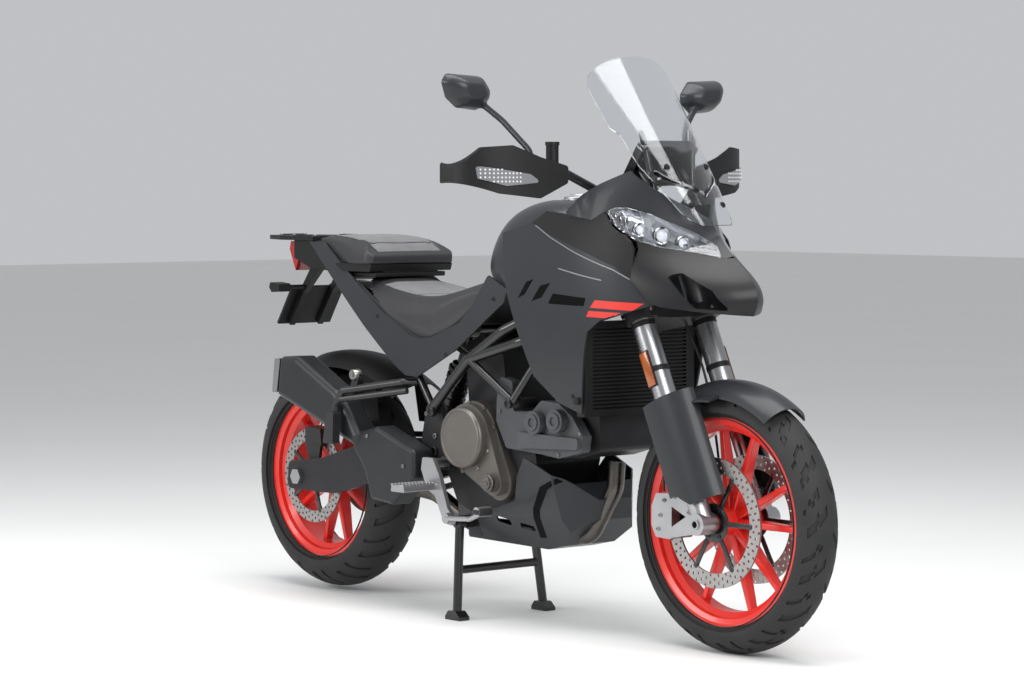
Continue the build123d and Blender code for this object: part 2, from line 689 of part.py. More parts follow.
# Radiator, exhaust and belly pan
RAD_HALF = 188.0
RAD_T = 28.0
RAD_X = 452.0
RAD_LOW = 568.0
RAD_TOP = 805.0
FIN_COUNT = 22
fin_pitch = (RAD_TOP - RAD_LOW - 30) / FIN_COUNT
with BuildPart() as radiator:
    with BuildSketch(Plane.XY.offset(RAD_LOW)):
        with Locations((RAD_X - RAD_T / 2, 0)):
            Rectangle(RAD_T, 2 * RAD_HALF)
    extrude(amount=RAD_TOP - RAD_LOW)
    with BuildSketch(Plane(origin=(RAD_X, 0, RAD_LOW + 15), x_dir=(0, 1, 0), z_dir=(1, 0, 0))):
        for fin in range(FIN_COUNT):
            with Locations((0, (fin + 0.5) * fin_pitch)):
                Rectangle(2 * RAD_HALF - 56, fin_pitch * 0.5)
    extrude(amount=-7, mode=Mode.SUBTRACT)
    for side in (-1, 1):
        with BuildSketch(Plane(origin=(RAD_X - RAD_T, side * 60, RAD_LOW + 6), x_dir=(0, 1, 0),
                               z_dir=(-1, 0, 0))):
            Circle(12)
        extrude(amount=RAD_X - RAD_T - 388)
        for height in (RAD_LOW + 40, RAD_TOP - 40):
            with BuildSketch(side_plane(max(side * (RAD_HALF - 1), side * 205))):
                with Locations((RAD_X - RAD_T / 2, height)):
                    Circle(9)
            extrude(amount=205 - RAD_HALF + 1)
radiator_shape = radiator.part - engine_block.part - mirrored(main_tubes(TRELLIS_R + MOVE_GAP))
keep("radiator", radiator_shape)

HEADER_R = 22.0
BOX_IN = -152.0
header_route = [Vector(366, 0, 440), Vector(366, -6, 372), Vector(300, -30, 246), Vector(60, -48, 244),
                Vector(-150, -52, 244),
                Vector(-258, -86, 318), Vector(-300, BOX_IN + SEAT_GAP, 340)]
header = tube(header_route, HEADER_R, 45) - engine_block.part

box_outline = [(-196, 444), (-196, 372), (-290, 292), (-380, 300), (-408, 376), (-462, 440),
               (-440, 478), (-358, 498), (-290, 474)]
with BuildPart() as exhaust_box:
    add(plate(box_outline, -218, BOX_IN, 12))
    outer_face = exhaust_box.faces().sort_by(Axis.Y)[0]
    fillet(outer_face.edges(), 12)
keep("exhaust_box", exhaust_box.part)
keep("exhaust_header", header - exhaust_box.part)

silencer_outline = [(-436, 436), (-424, 470), (-492, 560), (-530, 588), (-703, 672), (-780, 668),
                    (-796, 560), (-620, 500)]
with BuildPart() as silencer:
    add(plate(silencer_outline, -228, BOX_IN, 8))
    ends = silencer.faces().filter_by(Axis.Y)
    fillet(ends.sort_by(Axis.Y)[0].edges(), 20)
    fillet(silencer.faces().sort_by(Axis.Y)[-1].edges(), 14)
keep("silencer", silencer.part - exhaust_box.part)
with BuildPart() as silencer_cap:
    add(plate([(-781, 662), (-806, 662), (-820, 566), (-797, 568)], -222, BOX_IN - 6, 6))
keep("silencer_cap", silencer_cap.part - silencer.part)

BELLY_LOW = 206.0


def belly_volume(inset):
    with BuildPart() as volume:
        add(plate([(-126, 262), (-126, 212 + inset), (190, BELLY_LOW + inset),
                   (262 - inset, 222 + inset), (342 - inset, 292),
                   (360 - inset, 346), (312, 386), (294, 398), (175, 447), (135, 395), (115, 330),
                   (60, 312), (-40, 286)],
                  -180, 180, 0))
        with BuildPart(mode=Mode.INTERSECT):
            with BuildSketch(Plane(origin=(-200, 0, 0), x_dir=(0, 1, 0), z_dir=(1, 0, 0))):
                with BuildLine():
                    Polyline((-74 + inset, BELLY_LOW - 6), (-122 + inset, 292), (-151 + inset, 460),
                             (151 - inset, 460),
                             (122 - inset, 292), (74 - inset, BELLY_LOW - 6), close=True)
                make_face()
            extrude(amount=700)
        with BuildPart(mode=Mode.INTERSECT):
            with BuildSketch(Plane.XY.offset(150)):
                with BuildLine():
                    Polyline((-130, -84 + inset), (-64, -84 + inset), (-56, -122 + inset),
                             (40, -130 + inset), (120, -160 + inset),
                             (260, -152 + inset), (364, -52 + inset), (364, 52 - inset),
                             (260, 152 - inset), (120, 160 - inset),
                             (40, 130 - inset), (-56, 122 - inset), (-64, 84 - inset),
                             (-130, 84 - inset), close=True)
                make_face()
            extrude(amount=400)
    return volume.part


with BuildPart() as pan_slots:
    add(plate([(24, 268), (80, 260), (76, 276), (28, 284)], -200, 200, 5))
    add(plate([(112, 258), (170, 252), (166, 266), (114, 272)], -200, 200, 5))
belly_pan = belly_volume(0) - belly_volume(SKIN + 1) - pan_slots.part
keep("belly_pan", belly_pan - engine_block.part - header)

# Rear suspension and drive
ARM_IN = 114.0
ARM_OUT = 146.0
arm_outline = [(-276, 468), (-440, 458), (-690, 388), (-846, 368), (-852, 292), (-640, 292),
               (-400, 352), (-276, 398)]
with BuildPart() as swingarm:
    add(mirrored(plate(arm_outline, -ARM_OUT, -ARM_IN, 16)))
    add(plate([(-252, 452), (-400, 452), (-400, 388), (-252, 396)], -ARM_IN - 2, 84, 10))
    add(plate([(-300, 436), (-400, 436), (-400, 394), (-300, 394)], 80, ARM_IN + 2, 4))
    with BuildSketch(side_plane(84)):
        with Locations((PIVOT.X, PIVOT.Z)):
            Circle(27)
    extrude(amount=84 + PLATE_IN - SEAT_GAP)
    add(plate([(-230, 452), (-270, 450), (-270, 398), (-230, 416)], -PLATE_IN + SEAT_GAP, 84, 3))
    with BuildSketch(side_plane(PLATE_IN - SEAT_GAP)):
        with Locations((PIVOT.X, PIVOT.Z)):
            Circle(17)
    extrude(amount=PLATE_IN - SEAT_GAP - 80)
    for inner, outer in ((-25, -15), (15, 25)):
        add(plate([(-352, 446), (-308, 446), (-312, 494), (-348, 494)], inner, outer, 6))
    with BuildSketch(side_plane(PLATE_IN)):
        with Locations((PIVOT.X, PIVOT.Z)):
            Circle(PIVOT_R + RUN)
    extrude(amount=2 * PLATE_IN, mode=Mode.SUBTRACT)
    with BuildSketch(side_plane(40)):
        with Locations((-330, 476)):
            Circle(7 + RUN)
    extrude(amount=80, mode=Mode.SUBTRACT)
    with BuildSketch(side_plane(ARM_OUT)):
        with Locations((REAR_X, REAR_AXLE.Z)):
            Circle(AXLE_R + RUN)
    extrude(amount=2 * ARM_OUT, mode=Mode.SUBTRACT)
keep("swingarm", swingarm.part)

with BuildPart() as rear_axle:
    with BuildSketch(side_plane(ARM_OUT + 12)):
        with Locations((REAR_X, REAR_AXLE.Z)):
            Circle(AXLE_R)
    extrude(amount=2 * ARM_OUT + 24)
    for side in (-1, 1):
        with BuildSketch(side_plane(max(side * (ARM_OUT + SEAT_GAP), side * (ARM_OUT + 12)))):
            with Locations((REAR_X, REAR_AXLE.Z)):
                RegularPolygon(23, 6)
        extrude(amount=12 - SEAT_GAP)
keep("rear_axle", rear_axle.part)

REAR_DISC_MID = REAR_HUB_HALF + DISC_T / 2
with BuildPart() as rear_caliper:
    add(plate([(REAR_X - 12, REAR_AXLE.Z + 86), (REAR_X - 12, REAR_AXLE.Z + 140),
               (REAR_X + 58, REAR_AXLE.Z + 134),
               (REAR_X + 64, REAR_AXLE.Z + 84)], -ARM_IN + 1, -66, 8))
    with BuildSketch(side_plane(-REAR_DISC_MID + SLOT_HALF)):
        with Locations((REAR_X, REAR_AXLE.Z)):
            Circle(REAR_DISC_R + MOVE_GAP)
    extrude(amount=2 * SLOT_HALF, mode=Mode.SUBTRACT)
    add(plate([(REAR_X - 10, REAR_AXLE.Z + 90), (REAR_X + 60, REAR_AXLE.Z + 90),
               (REAR_X + 44, REAR_AXLE.Z + 10),
               (REAR_X + 22, REAR_AXLE.Z + 10)], -ARM_IN + SEAT_GAP, -ARM_IN + 10, 4))
keep("rear_axle", rear_caliper.part)

HUGGER_AXIS = Vector(-717, 0, 88)
HUGGER_R = 594.0
HUGGER_HALF = 92.0


def around_hugger(angle):
    turn = radians(angle)
    return Plane(origin=HUGGER_AXIS, x_dir=(0, 1, 0), z_dir=(sin(turn), 0, -cos(turn)))


with BuildPart() as rear_hugger:
    with BuildSketch(around_hugger(102)):
        with BuildLine():
            crown = ThreePointArc((-HUGGER_HALF, HUGGER_R - 46), (0, HUGGER_R),
                                  (HUGGER_HALF, HUGGER_R - 46))
            lining = ThreePointArc((SKIN - HUGGER_HALF, HUGGER_R - 46), (0, HUGGER_R - SKIN),
                                   (HUGGER_HALF - SKIN, HUGGER_R - 46))
            Line(crown @ 0, lining @ 0)
            Line(crown @ 1, lining @ 1)
        make_face()
    revolve(axis=Axis(HUGGER_AXIS, (0, 1, 0)), revolution_arc=42)
    hanger = (
        plate([(-500, 488), (-552, 488), (-580, 624), (-520, 604)], -HUGGER_HALF, -HUGGER_HALF + SKIN)
        + plate([(-500, 486), (-552, 486), (-552, 491), (-500, 491)], -122, -HUGGER_HALF + SKIN)
        + plate([(-500, 430), (-552, 416), (-552, 491), (-500, 491)], -122, -117)
    )
    add(mirrored(hanger))
hugger_shape = rear_hugger.part - swingarm.part
keep("rear_hugger", hugger_shape)

FRONT_SPROCKET_R = 38.0
REAR_SPROCKET_R = 109.0
CHAIN_HALF = 7.5
with BuildPart() as chain:
    for low, high, grow in ((-8.5, -5, CHAIN_HALF), (-5, 5, 4.5), (5, 8.5, CHAIN_HALF)):
        with BuildSketch(side_plane(CHAIN_Y + high)):
            add(capsule((SPROCKET_X, SPROCKET_Z), FRONT_SPROCKET_R + grow, (REAR_X, REAR_AXLE.Z),
                        REAR_SPROCKET_R + grow))
            add(capsule((SPROCKET_X, SPROCKET_Z), FRONT_SPROCKET_R - grow, (REAR_X, REAR_AXLE.Z),
                        REAR_SPROCKET_R - grow),
                mode=Mode.SUBTRACT)
        extrude(amount=high - low)
keep("chain", chain.part)

with BuildPart() as front_sprocket:
    with BuildSketch(side_plane(CHAIN_Y + 3)):
        with Locations((SPROCKET_X, SPROCKET_Z)):
            Circle(FRONT_SPROCKET_R - 5)
    extrude(amount=6)
    with BuildSketch(side_plane(CHAIN_Y + 12)):
        with Locations((SPROCKET_X, SPROCKET_Z)):
            Circle(15)
    extrude(amount=28 - SEAT_GAP)
keep("chain", front_sprocket.part)

with BuildPart() as rear_sprocket:
    with BuildSketch(side_plane(CHAIN_Y + 3)):
        with Locations((REAR_X, REAR_AXLE.Z)):
            Circle(REAR_SPROCKET_R - 7)
            with PolarLocations(76, 5):
                Circle(15, mode=Mode.SUBTRACT)
            Circle(AXLE_R + 8, mode=Mode.SUBTRACT)
    extrude(amount=6)
    with BuildSketch(side_plane(CHAIN_Y - 3)):
        with Locations((REAR_X, REAR_AXLE.Z)):
            Circle(46)
            Circle(AXLE_R + 8, mode=Mode.SUBTRACT)
    extrude(amount=CHAIN_Y - 3 - REAR_HUB_HALF)
keep("rear_sprocket", rear_sprocket.part)

# A thin wall that follows a line seen from above and leans with height
def bowed_wall(plan, heights, thickness):
    with BuildPart() as wall:
        for height, inset in heights:
            with BuildSketch(Plane.XY.offset(height)):
                with BuildLine():
                    outer = Spline(*[(x, inset - half) for x, half in plan])
                    inner = Spline(*[(x, inset - half + thickness) for x, half in plan])
                    Line(outer @ 0, inner @ 0)
                    Line(outer @ 1, inner @ 1)
                make_face()
        loft()
    return wall.part


# Subframe and rear shock
RAIL_R = 11.0
RAIL_START = Vector(-45, -132, 690)
RAIL_BEND = Vector(-215, -116, 758)
RAIL_END = Vector(-700, -82, 892)
with BuildPart() as rails:
    right_rail = (
        tube([RAIL_START, RAIL_BEND, RAIL_END], RAIL_R, 60)
        + tube([NODE_B + Vector(-8, 16, 6), Vector(-290, -132, 655), Vector(-560, -92, 853)],
               BRACE_R - 1, 50)
        + tube([Vector(-140, -122, 728), Vector(-140, -190, 728)], 8)
        + tube([Vector(-440, -98, 815), Vector(-440, -190, 815)], 8)
    )
    add(mirrored(right_rail))
    add(tube([RAIL_BEND, other_side(RAIL_BEND)], RAIL_R))
    add(tube([RAIL_END + Vector(14, 0, -4), other_side(RAIL_END) + Vector(14, 0, -4)], RAIL_R - 2))
TAIL_PLAN = [(120, 152), (0, 160), (-200, 164), (-400, 160), (-600, 142), (-840, 112)]
TAIL_HEIGHTS = ((600, -6), (800, 0), (1010, 14))
beyond_panels = bowed_wall(TAIL_PLAN, [(height, inset - 55) for height, inset in TAIL_HEIGHTS],
                           SKIN + 57 + SEAT_GAP)
subframe = rails.part - frame_trellis.part - frame_plates - mirrored(beyond_panels)
keep("subframe", subframe)

SHOCK_LOW = Vector(-330, 0, 476)
SHOCK_TOP = Vector(RAIL_BEND.X, 0, RAIL_BEND.Z)
SHOCK_UP = (SHOCK_TOP - SHOCK_LOW).normalized()
SHOCK_LENGTH = (SHOCK_TOP - SHOCK_LOW).length
COILS = 7
with BuildPart() as rear_shock:
    with BuildSketch(Plane(origin=SHOCK_LOW, z_dir=SHOCK_UP)):
        Circle(15)
    extrude(amount=SHOCK_LENGTH)
    for coil in range(COILS):
        with BuildSketch(Plane(origin=SHOCK_LOW + SHOCK_UP * (48 + coil * 22), z_dir=SHOCK_UP)):
            Circle(34)
        extrude(amount=11)
    with BuildSketch(Plane(origin=SHOCK_LOW + SHOCK_UP * 40, z_dir=SHOCK_UP)):
        Circle(27)
    extrude(amount=COILS * 22 + 8)
    with BuildSketch(side_plane(14)):
        with Locations((SHOCK_TOP.X, SHOCK_TOP.Z)):
            Circle(22)
        with Locations((SHOCK_LOW.X, SHOCK_LOW.Z)):
            Circle(17)
    extrude(amount=28)
    with BuildSketch(side_plane(30)):
        with Locations((SHOCK_LOW.X, SHOCK_LOW.Z)):
            Circle(7)
    extrude(amount=60)
    with BuildSketch(side_plane(20)):
        with Locations((SHOCK_TOP.X, SHOCK_TOP.Z)):
            Circle(RAIL_R + RUN)
    extrude(amount=40, mode=Mode.SUBTRACT)
keep("rear_shock", rear_shock.part)


# Tank with its lid
def tank_section(x, half, low, top):
    rise = top - low
    with BuildSketch(Plane(origin=(x, 0, 0), x_dir=(0, 1, 0), z_dir=(1, 0, 0))) as section:
        with BuildLine():
            Spline((-half * 0.8, low), (-half, low + rise * 0.5), (-half * 0.74, low + rise * 0.92),
                   (0, top),
                   (half * 0.74, low + rise * 0.92), (half, low + rise * 0.5), (half * 0.8, low))
            Line((half * 0.8, low), (-half * 0.8, low))
        make_face()
    return section.sketch


LID_X = 229.0
LID_R = 46.0
LID_Z = 1106.0
LID_T = 9.0
LID_PIN_R = 3.0
LID_HINGE_X = LID_X + LID_R + 12
LID_HINGE_Z = LID_Z + LID_T
TANK_STATIONS = ((-14, 96, 898, 962), (40, 137, 868, 1046), (140, 163.5, 846, 1098),
                 (250, 174.5, 880, 1106),
                 (348, 146.5, 932, 1081))
with BuildPart() as tank:
    for station in TANK_STATIONS:
        add(tank_section(*station))
    loft()
    with BuildSketch(Plane(origin=(LID_X, 0, LID_Z - 14))):
        Circle(LID_R + 9)
    extrude(amount=14 - SEAT_GAP)
    with BuildSketch(Plane(origin=(LID_X, 0, LID_Z - SEAT_GAP))):
        Circle(LID_R + 30)
    extrude(amount=40, mode=Mode.SUBTRACT)
    with BuildSketch(Plane.XY.offset(780)):
        with Locations((150, 120), (150, -120)):
            Circle(13)
    extrude(amount=90)
    for side in (-1, 1):
        add(plate([(LID_HINGE_X - 6, LID_Z - 20), (LID_HINGE_X - 6, LID_HINGE_Z + 5),
                   (LID_HINGE_X + 6, LID_HINGE_Z + 5),
                   (LID_HINGE_X + 6, LID_Z - 20)], side * 12 - 3, side * 12 + 3))
    add(tube([Vector(LID_HINGE_X, -14, LID_HINGE_Z), Vector(LID_HINGE_X, 14, LID_HINGE_Z)], LID_PIN_R))
keep("tank", tank.part - frame_trellis.part)

with BuildPart() as fuel_lid:
    with BuildSketch(Plane(origin=(LID_X, 0, LID_Z))):
        Circle(LID_R)
    extrude(amount=LID_T)
    fillet(fuel_lid.faces().sort_by(Axis.Z)[-1].edges(), 3)
    add(plate([(LID_X, LID_Z + 2), (LID_X, LID_HINGE_Z), (LID_HINGE_X, LID_HINGE_Z + 4),
               (LID_HINGE_X, LID_HINGE_Z - 4)],
              -7, 7))
    with BuildSketch(side_plane(7)):
        with Locations((LID_HINGE_X, LID_HINGE_Z)):
            Circle(LID_PIN_R + 3)
    extrude(amount=14)
    with BuildSketch(side_plane(7)):
        with Locations((LID_HINGE_X, LID_HINGE_Z)):
            Circle(LID_PIN_R + RUN)
    extrude(amount=14, mode=Mode.SUBTRACT)
keep("fuel_lid", fuel_lid.part)


# Side fairings: an outline seen from the side, cut from a bowed wall
WALL_PLAN = [(60, 165), (170, 184), (300, 199), (450, 208), (560, 193), (640, 160), (720, 118)]
WALL_HEIGHTS = ((540, 22), (860, 0), (1110, 30))


def on_wall(outline, corner=0.0):
    return bowed_wall(WALL_PLAN, WALL_HEIGHTS, SKIN + 1) & plate(outline, -260, 0, corner)


fairing_outline = [(102, 1022), (235, 1049.7), (318, 1020.7), (448, 984.7), (560, 945.7), (620, 900.7),
                   (667, 855), (587, 830),
                   (523, 812), (481, 782), (470, 734), (445, 576), (359, 600), (259, 662), (195, 771),
                   (138, 876)]
band_outline = [(235, 1050), (293, 1080), (383, 1072), (477, 1059), (513, 1080), (541, 1042.5),
                (596.5, 1007.5), (607, 987.5),
                (607, 911), (560, 946), (448, 985), (318, 1021)]
keep("side_fairings", mirrored(on_wall(fairing_outline)) - radiator_shape)
keep("side_bands", mirrored(on_wall(band_outline)))


# Nose: a lofted shell cut into upper fairing, lamps and beak
def nose_section(z, points, inset, back):
    right = [(x - inset, inset - half) for x, half in points[:-1]]
    right.append((points[-1][0] - inset * 1.4, 0))
    left = [(x, -y) for x, y in right]
    rear_x = right[0][0] - back
    with BuildSketch(Plane.XY.offset(z)) as section:
        with BuildLine():
            Spline(*right)
            Spline(*left)
            if back:
                Polyline(right[0], (rear_x, right[0][1]), (rear_x, left[0][1]), left[0])
            else:
                Line(right[0], left[0])
        make_face()
    return section.sketch


NOSE = [
    (824, [(590, 176), (700, 150), (778, 98), (854, 0)]),
    (905, [(520, 192), (660, 160), (760, 104), (858, 0)]),
    (978, [(445, 199), (600, 160), (708, 74), (778, 0)]),
    (1065, [(388, 192), (520, 172), (625, 100), (706, 0)]),
    (1180, [(388, 168), (490, 148), (570, 120), (690, 0)]),
]


def nose_volume(inset, back=0.0):
    with BuildPart() as volume:
        for z, points in NOSE:
            add(nose_section(z, points, inset, back))
        loft()
        if back:
            for face in (volume.faces().sort_by(Axis.Z)[0], volume.faces().sort_by(Axis.Z)[-1]):
                extrude(face, amount=1)
    return volume.part


nose_outer = nose_volume(0)
nose_shell = nose_outer - nose_volume(SKIN, 60)
V_PEAK = (552, 1180)
V_TIP = (722, 1046)
upper_outline = [(383, 1078), (435, 1122), (480, 1148), V_PEAK, V_TIP, (840, 1010), (778, 968),
                 (768.3, 968.5), (744.3, 997.5),
                 (684.3, 1034.5), (610.3, 1073.5), (562, 1089.5), (534, 1090.5), (514, 1081.5),
                 (477, 1059.5), (383, 1072.5)]
lamp_outline = [(514, 1081), (534, 1090), (562, 1089), (610, 1073), (684, 1034), (744, 997), (768, 968),
                (715, 981), (646, 992),
                (597, 1008), (542, 1043)]
beak_outline = [(607.3, 988), (597, 1007.5), (646, 991.5), (715, 980.5), (768, 967.5), (800, 967),
                (900, 900), (880, 824.5), (690, 849),
                (667.3, 855.5), (620.3, 901.2), (607.3, 911.3)]
intake_outline = [(692, 925), (722, 932), (798, 890), (834, 840), (766, 847)]
keep("upper_fairing", nose_shell & plate(upper_outline, -230, 230))
lens = nose_shell & plate(lamp_outline, -230, 230)
keep("headlight_lens", lens)
with BuildPart() as beak_cut:
    add(plate(intake_outline, -200, -16, 6))
    add(plate(intake_outline, 16, 200, 6))
keep("beak", (nose_shell & plate(beak_outline, -230, 230)) - beak_cut.part)

# What stands behind the nose: stay, lamp housing, screen and dash
STAY_ALONG = 1000.0
STAY_REACH = 168.0
STAY_X = 622.0
STAY_T = 12.0
STAY_LOW = 942.0
HOUSING_DEPTH = 34.0
housing = (nose_volume(SKIN + SEAT_GAP) - nose_volume(SKIN + HOUSING_DEPTH, 60)) & plate(lamp_outline,
                                                                                         -230, 230)
# The back of the bowl is turned away where the fork clamps swing past it
with BuildPart() as clamp_sweep:
    with BuildSketch(steer_plane(HEAD_LOW - YOKE_LOW_T - 40)):
        Circle(sqrt(FORK_OFFSET ** 2 + FORK_HALF ** 2) + SLEEVE_R + 11 + MOVE_GAP + 2)
    extrude(amount=HEAD_LENGTH + 200)
keep("headlight_housing", housing - clamp_sweep.part)

with BuildPart() as fairing_stay:
    with BuildSketch(Plane(origin=on_steer(STAY_ALONG, HEAD_R - 6), x_dir=(0, 1, 0), z_dir=STEER_FORWARD)):
        Rectangle(30, 60)
    extrude(amount=STAY_REACH - HEAD_R + 6)
    add(plate([(STAY_X, STAY_LOW), (STAY_X + STAY_T, STAY_LOW), (STAY_X + STAY_T, 1096),
               (STAY_X, 1096)], -220, 220))
stay_part = (fairing_stay.part & nose_volume(SKIN + SEAT_GAP)) + (fairing_stay.part & plate(
    [(480, 860), (STAY_X + 1, 860), (STAY_X + 1, 1040), (480, 1040)], -16, 16))
stay_part = stay_part - frame_trellis.part - nose_shell - housing
keep("fairing_stay", stay_part)

SCREEN_T = 4.0
SCREEN_FOOT = Vector(731, 0, 1062)
SCREEN_TIP = Vector(430, 0, 1466)
screen_up = (SCREEN_TIP - SCREEN_FOOT).normalized()
screen_length = (SCREEN_TIP - SCREEN_FOOT).length
SCREEN_STATIONS = ((-0.06, 104, 62), (0.35, 140, 72), (1.02, 190, 100))


def screen_sheet(lift, thickness):
    with BuildPart() as sheet:
        for station, half, bow in SCREEN_STATIONS:
            middle = SCREEN_FOOT + screen_up * (screen_length * station)
            with BuildSketch(Plane(origin=middle, x_dir=(0, 1, 0), z_dir=screen_up)):
                with BuildLine():
                    high = ThreePointArc((-half, bow + lift), (0, lift), (half, bow + lift))
                    low = ThreePointArc((-half, bow + lift + thickness), (0, lift + thickness),
                                        (half, bow + lift + thickness))
                    Line(high @ 0, low @ 0)
                    Line(high @ 1, low @ 1)
                make_face()
        loft()
    return sheet.part


with BuildPart() as screen_front:
    with BuildSketch(Plane(origin=(150, 0, 0), x_dir=(0, 1, 0), z_dir=(1, 0, 0))):
        with BuildLine():
            crown = Spline((148, 1375), (130, 1424), (84, 1454), (0, 1468), (-84, 1454), (-130, 1424),
                           (-148, 1375))
            Polyline(crown @ 0, (141, 1285), (129, 1270), (120, 1195), (74, 1060), (0, 1020),
                     (-74, 1060), (-120, 1195), (-129, 1270),
                     (-141, 1285), crown @ 1)
        make_face()
    extrude(amount=700)
above_cowl = plate([V_PEAK, (V_TIP[0], V_TIP[1] + SEAT_GAP), (900, V_TIP[1] + SEAT_GAP), (900, 1500),
                    (300, 1500),
                    (300, V_PEAK[1])], -230, 230)
windscreen = (screen_sheet(0, SCREEN_T) & screen_front.part & above_cowl) - nose_shell
keep("windscreen", windscreen)

with BuildPart() as dashboard:
    with BuildSketch(Plane(origin=(512, 0, 1206), x_dir=(0, 1, 0), z_dir=(-0.82, 0, 0.57))) as face:
        RectangleRounded(186, 118, 16)
    extrude(amount=-26)
keep("dashboard", dashboard.part)

with BuildPart() as screen_mount:
    for side in (-1, 1):
        add(tube([Vector(628, side * 62, 1060), Vector(572, side * 66, 1130),
                  Vector(520, side * 70, 1186)], 9, 20))
        add(tube([Vector(572, side * 66, 1130), Vector(560, side * 74, 1200),
                  Vector(545, side * 88, 1290)], 8, 20))
screen_room = screen_sheet(-60, 60 + SCREEN_T + SEAT_GAP)
mount_shape = screen_mount.part - dashboard.part - stay_part - housing - nose_shell - screen_room
keep("fairing_stay", mount_shape)

# Seats and tail
SEAT_HALF = 157.0
seam = [(30, 906), (-18, 834), (-72, 784), (-182, 743), (-232, 737), (-274, 746), (-417, 812), (-535, 881)]
seat_top = [(-584, 906), (-500, 890), (-400, 866), (-300, 850), (-200, 850), (-100, 872), (-20, 900)]
seat_tunnel = [(-20, 600), (-20, 748), (-100, 778), (-215, 786), (-505, 862), (-620, 888), (-620, 600)]
with BuildPart() as rider_seat:
    with BuildSketch(side_plane(SEAT_HALF)):
        with BuildLine():
            low_edge = Spline(*seam)
            high_edge = Spline(*seat_top)
            Line(low_edge @ 1, high_edge @ 0)
            Line(high_edge @ 1, low_edge @ 0)
        make_face()
    extrude(amount=2 * SEAT_HALF)
    with BuildPart(mode=Mode.INTERSECT):
        with BuildSketch(Plane(origin=(-620, 0, 0), x_dir=(0, 1, 0), z_dir=(1, 0, 0))):
            with BuildLine():
                Spline((-SEAT_HALF, 700), (-SEAT_HALF, 800), (-132, 858), (-80, 890), (0, 900),
                       (80, 890), (132, 858),
                       (SEAT_HALF, 800), (SEAT_HALF, 700))
                Line((SEAT_HALF, 700), (-SEAT_HALF, 700))
            make_face()
        extrude(amount=700)
    with BuildPart(mode=Mode.INTERSECT):
        with BuildSketch(Plane.XY.offset(700)):
            with BuildLine():
                right_side = Spline((40, -98), (-70, -128), (-200, -SEAT_HALF), (-420, -SEAT_HALF + 2),
                                    (-600, -130))
                left_side = Spline((40, 98), (-70, 128), (-200, SEAT_HALF), (-420, SEAT_HALF - 2),
                                   (-600, 130))
                Line(right_side @ 0, left_side @ 0)
                Line(right_side @ 1, left_side @ 1)
            make_face()
        extrude(amount=300)
    add(plate(seat_tunnel, -134, 134), mode=Mode.SUBTRACT)
keep("rider_seat", rider_seat.part - tank.part)

PILLION_LOW = 929.7
PILLION_FRONT = -463.0
with BuildPart() as pillion_seat:
    with BuildSketch(side_plane(170)):
        with BuildLine():
            crown = Spline((PILLION_FRONT, PILLION_LOW + 22), (-500, 976), (-580, 1000), (-680, 1003),
                           (-770, 997))
            Polyline(crown @ 1, (-770, 989.5), (-690, PILLION_LOW), (PILLION_FRONT - 4, PILLION_LOW),
                     crown @ 0)
        make_face()
    extrude(amount=340)
    with BuildPart(mode=Mode.INTERSECT):
        with BuildSketch(Plane.XY.offset(900)) as face:
            with BuildLine():
                Polyline((PILLION_FRONT, -138), (-486, -156), (-560, -148), (-640, -118), (-780, -92),
                         (-780, 92),
                         (-640, 118), (-560, 148), (-486, 156), (PILLION_FRONT, 138), close=True)
            make_face()
            fillet(face.vertices(), 14)
        extrude(amount=120)
    with BuildPart(mode=Mode.INTERSECT):
        with BuildSketch(Plane(origin=(-790, 0, 0), x_dir=(0, 1, 0), z_dir=(1, 0, 0))):
            with BuildLine():
                Spline((-160, 925), (-156, 955), (-112, 992), (0, 1004), (112, 992), (156, 955), (160, 925))
                Line((160, 925), (-160, 925))
            make_face()
        extrude(amount=360)
keep("pillion_seat", pillion_seat.part)

tail_outline = [(109, 876), (36, 910.3), (30, 905.3), *[(x, z - 0.6) for x, z in seam[1:]], (-560, 896),
                (-722, 985), (-800, 985),
                (-632, 865), (-491, 765), (-338, 663), (-288, 637), (-239, 635), (-86, 710), (-58, 728),
                (29, 792), (96, 841)]
tail_wall = bowed_wall(TAIL_PLAN, TAIL_HEIGHTS, SKIN + 2) & plate(tail_outline, -200, 0)
tail_panel = tail_wall - rider_seat.part - tank.part - pillion_seat.part
keep("tail_panels", mirrored(tail_panel))

RACK_Z = 988.0
tray_outline = [(-478, PILLION_LOW - SEAT_GAP), (-478, 906), (-596, 906.5), (-704, 903.5), (-810, 912),
                (-884, 938),
                (-884, RACK_Z - SEAT_GAP), (-774, RACK_Z - SEAT_GAP), (-692, PILLION_LOW - SEAT_GAP)]
with BuildPart() as tail_tray:
    add(plate(tray_outline, -96, 96))
    add(plate([(-470, PILLION_LOW - SEAT_GAP), (-478, 908), (-600, 908),
               (-640, PILLION_LOW - SEAT_GAP)], -142, 142, 4))
tray_part = tail_tray.part - subframe - rider_seat.part - mirrored(tail_panel)
keep("tail_tray", tray_part)

RACK_BOLTS = (80.0, 110.0)
RACK_BOLT_X = -960.0
RACK_BOLT_R = 4.25
with BuildPart() as grab_rack:
    with BuildSketch(Plane.XY.offset(RACK_Z)) as face:
        with BuildLine():
            Polyline((-786, -104), (-940, -104), (-1044, -64), (-1054, 0), (-1044, 64), (-940, 104),
                     (-786, 104), close=True)
        make_face()
        with Locations((-890, 0)):
            SlotOverall(110, 44, mode=Mode.SUBTRACT)
        with Locations((RACK_BOLT_X, 0)):
            with GridLocations(RACK_BOLTS[0], RACK_BOLTS[1], 2, 2):
                Circle(RACK_BOLT_R, mode=Mode.SUBTRACT)
    extrude(amount=12)
rack_part = grab_rack.part - pillion_seat.part - mirrored(tail_panel)
keep("grab_rack", rack_part)

keep("tail_light", plate([(-884.3, 940), (-902, 902), (-930, 962), (-924, 984), (-884.3, 984)], -78, 78))

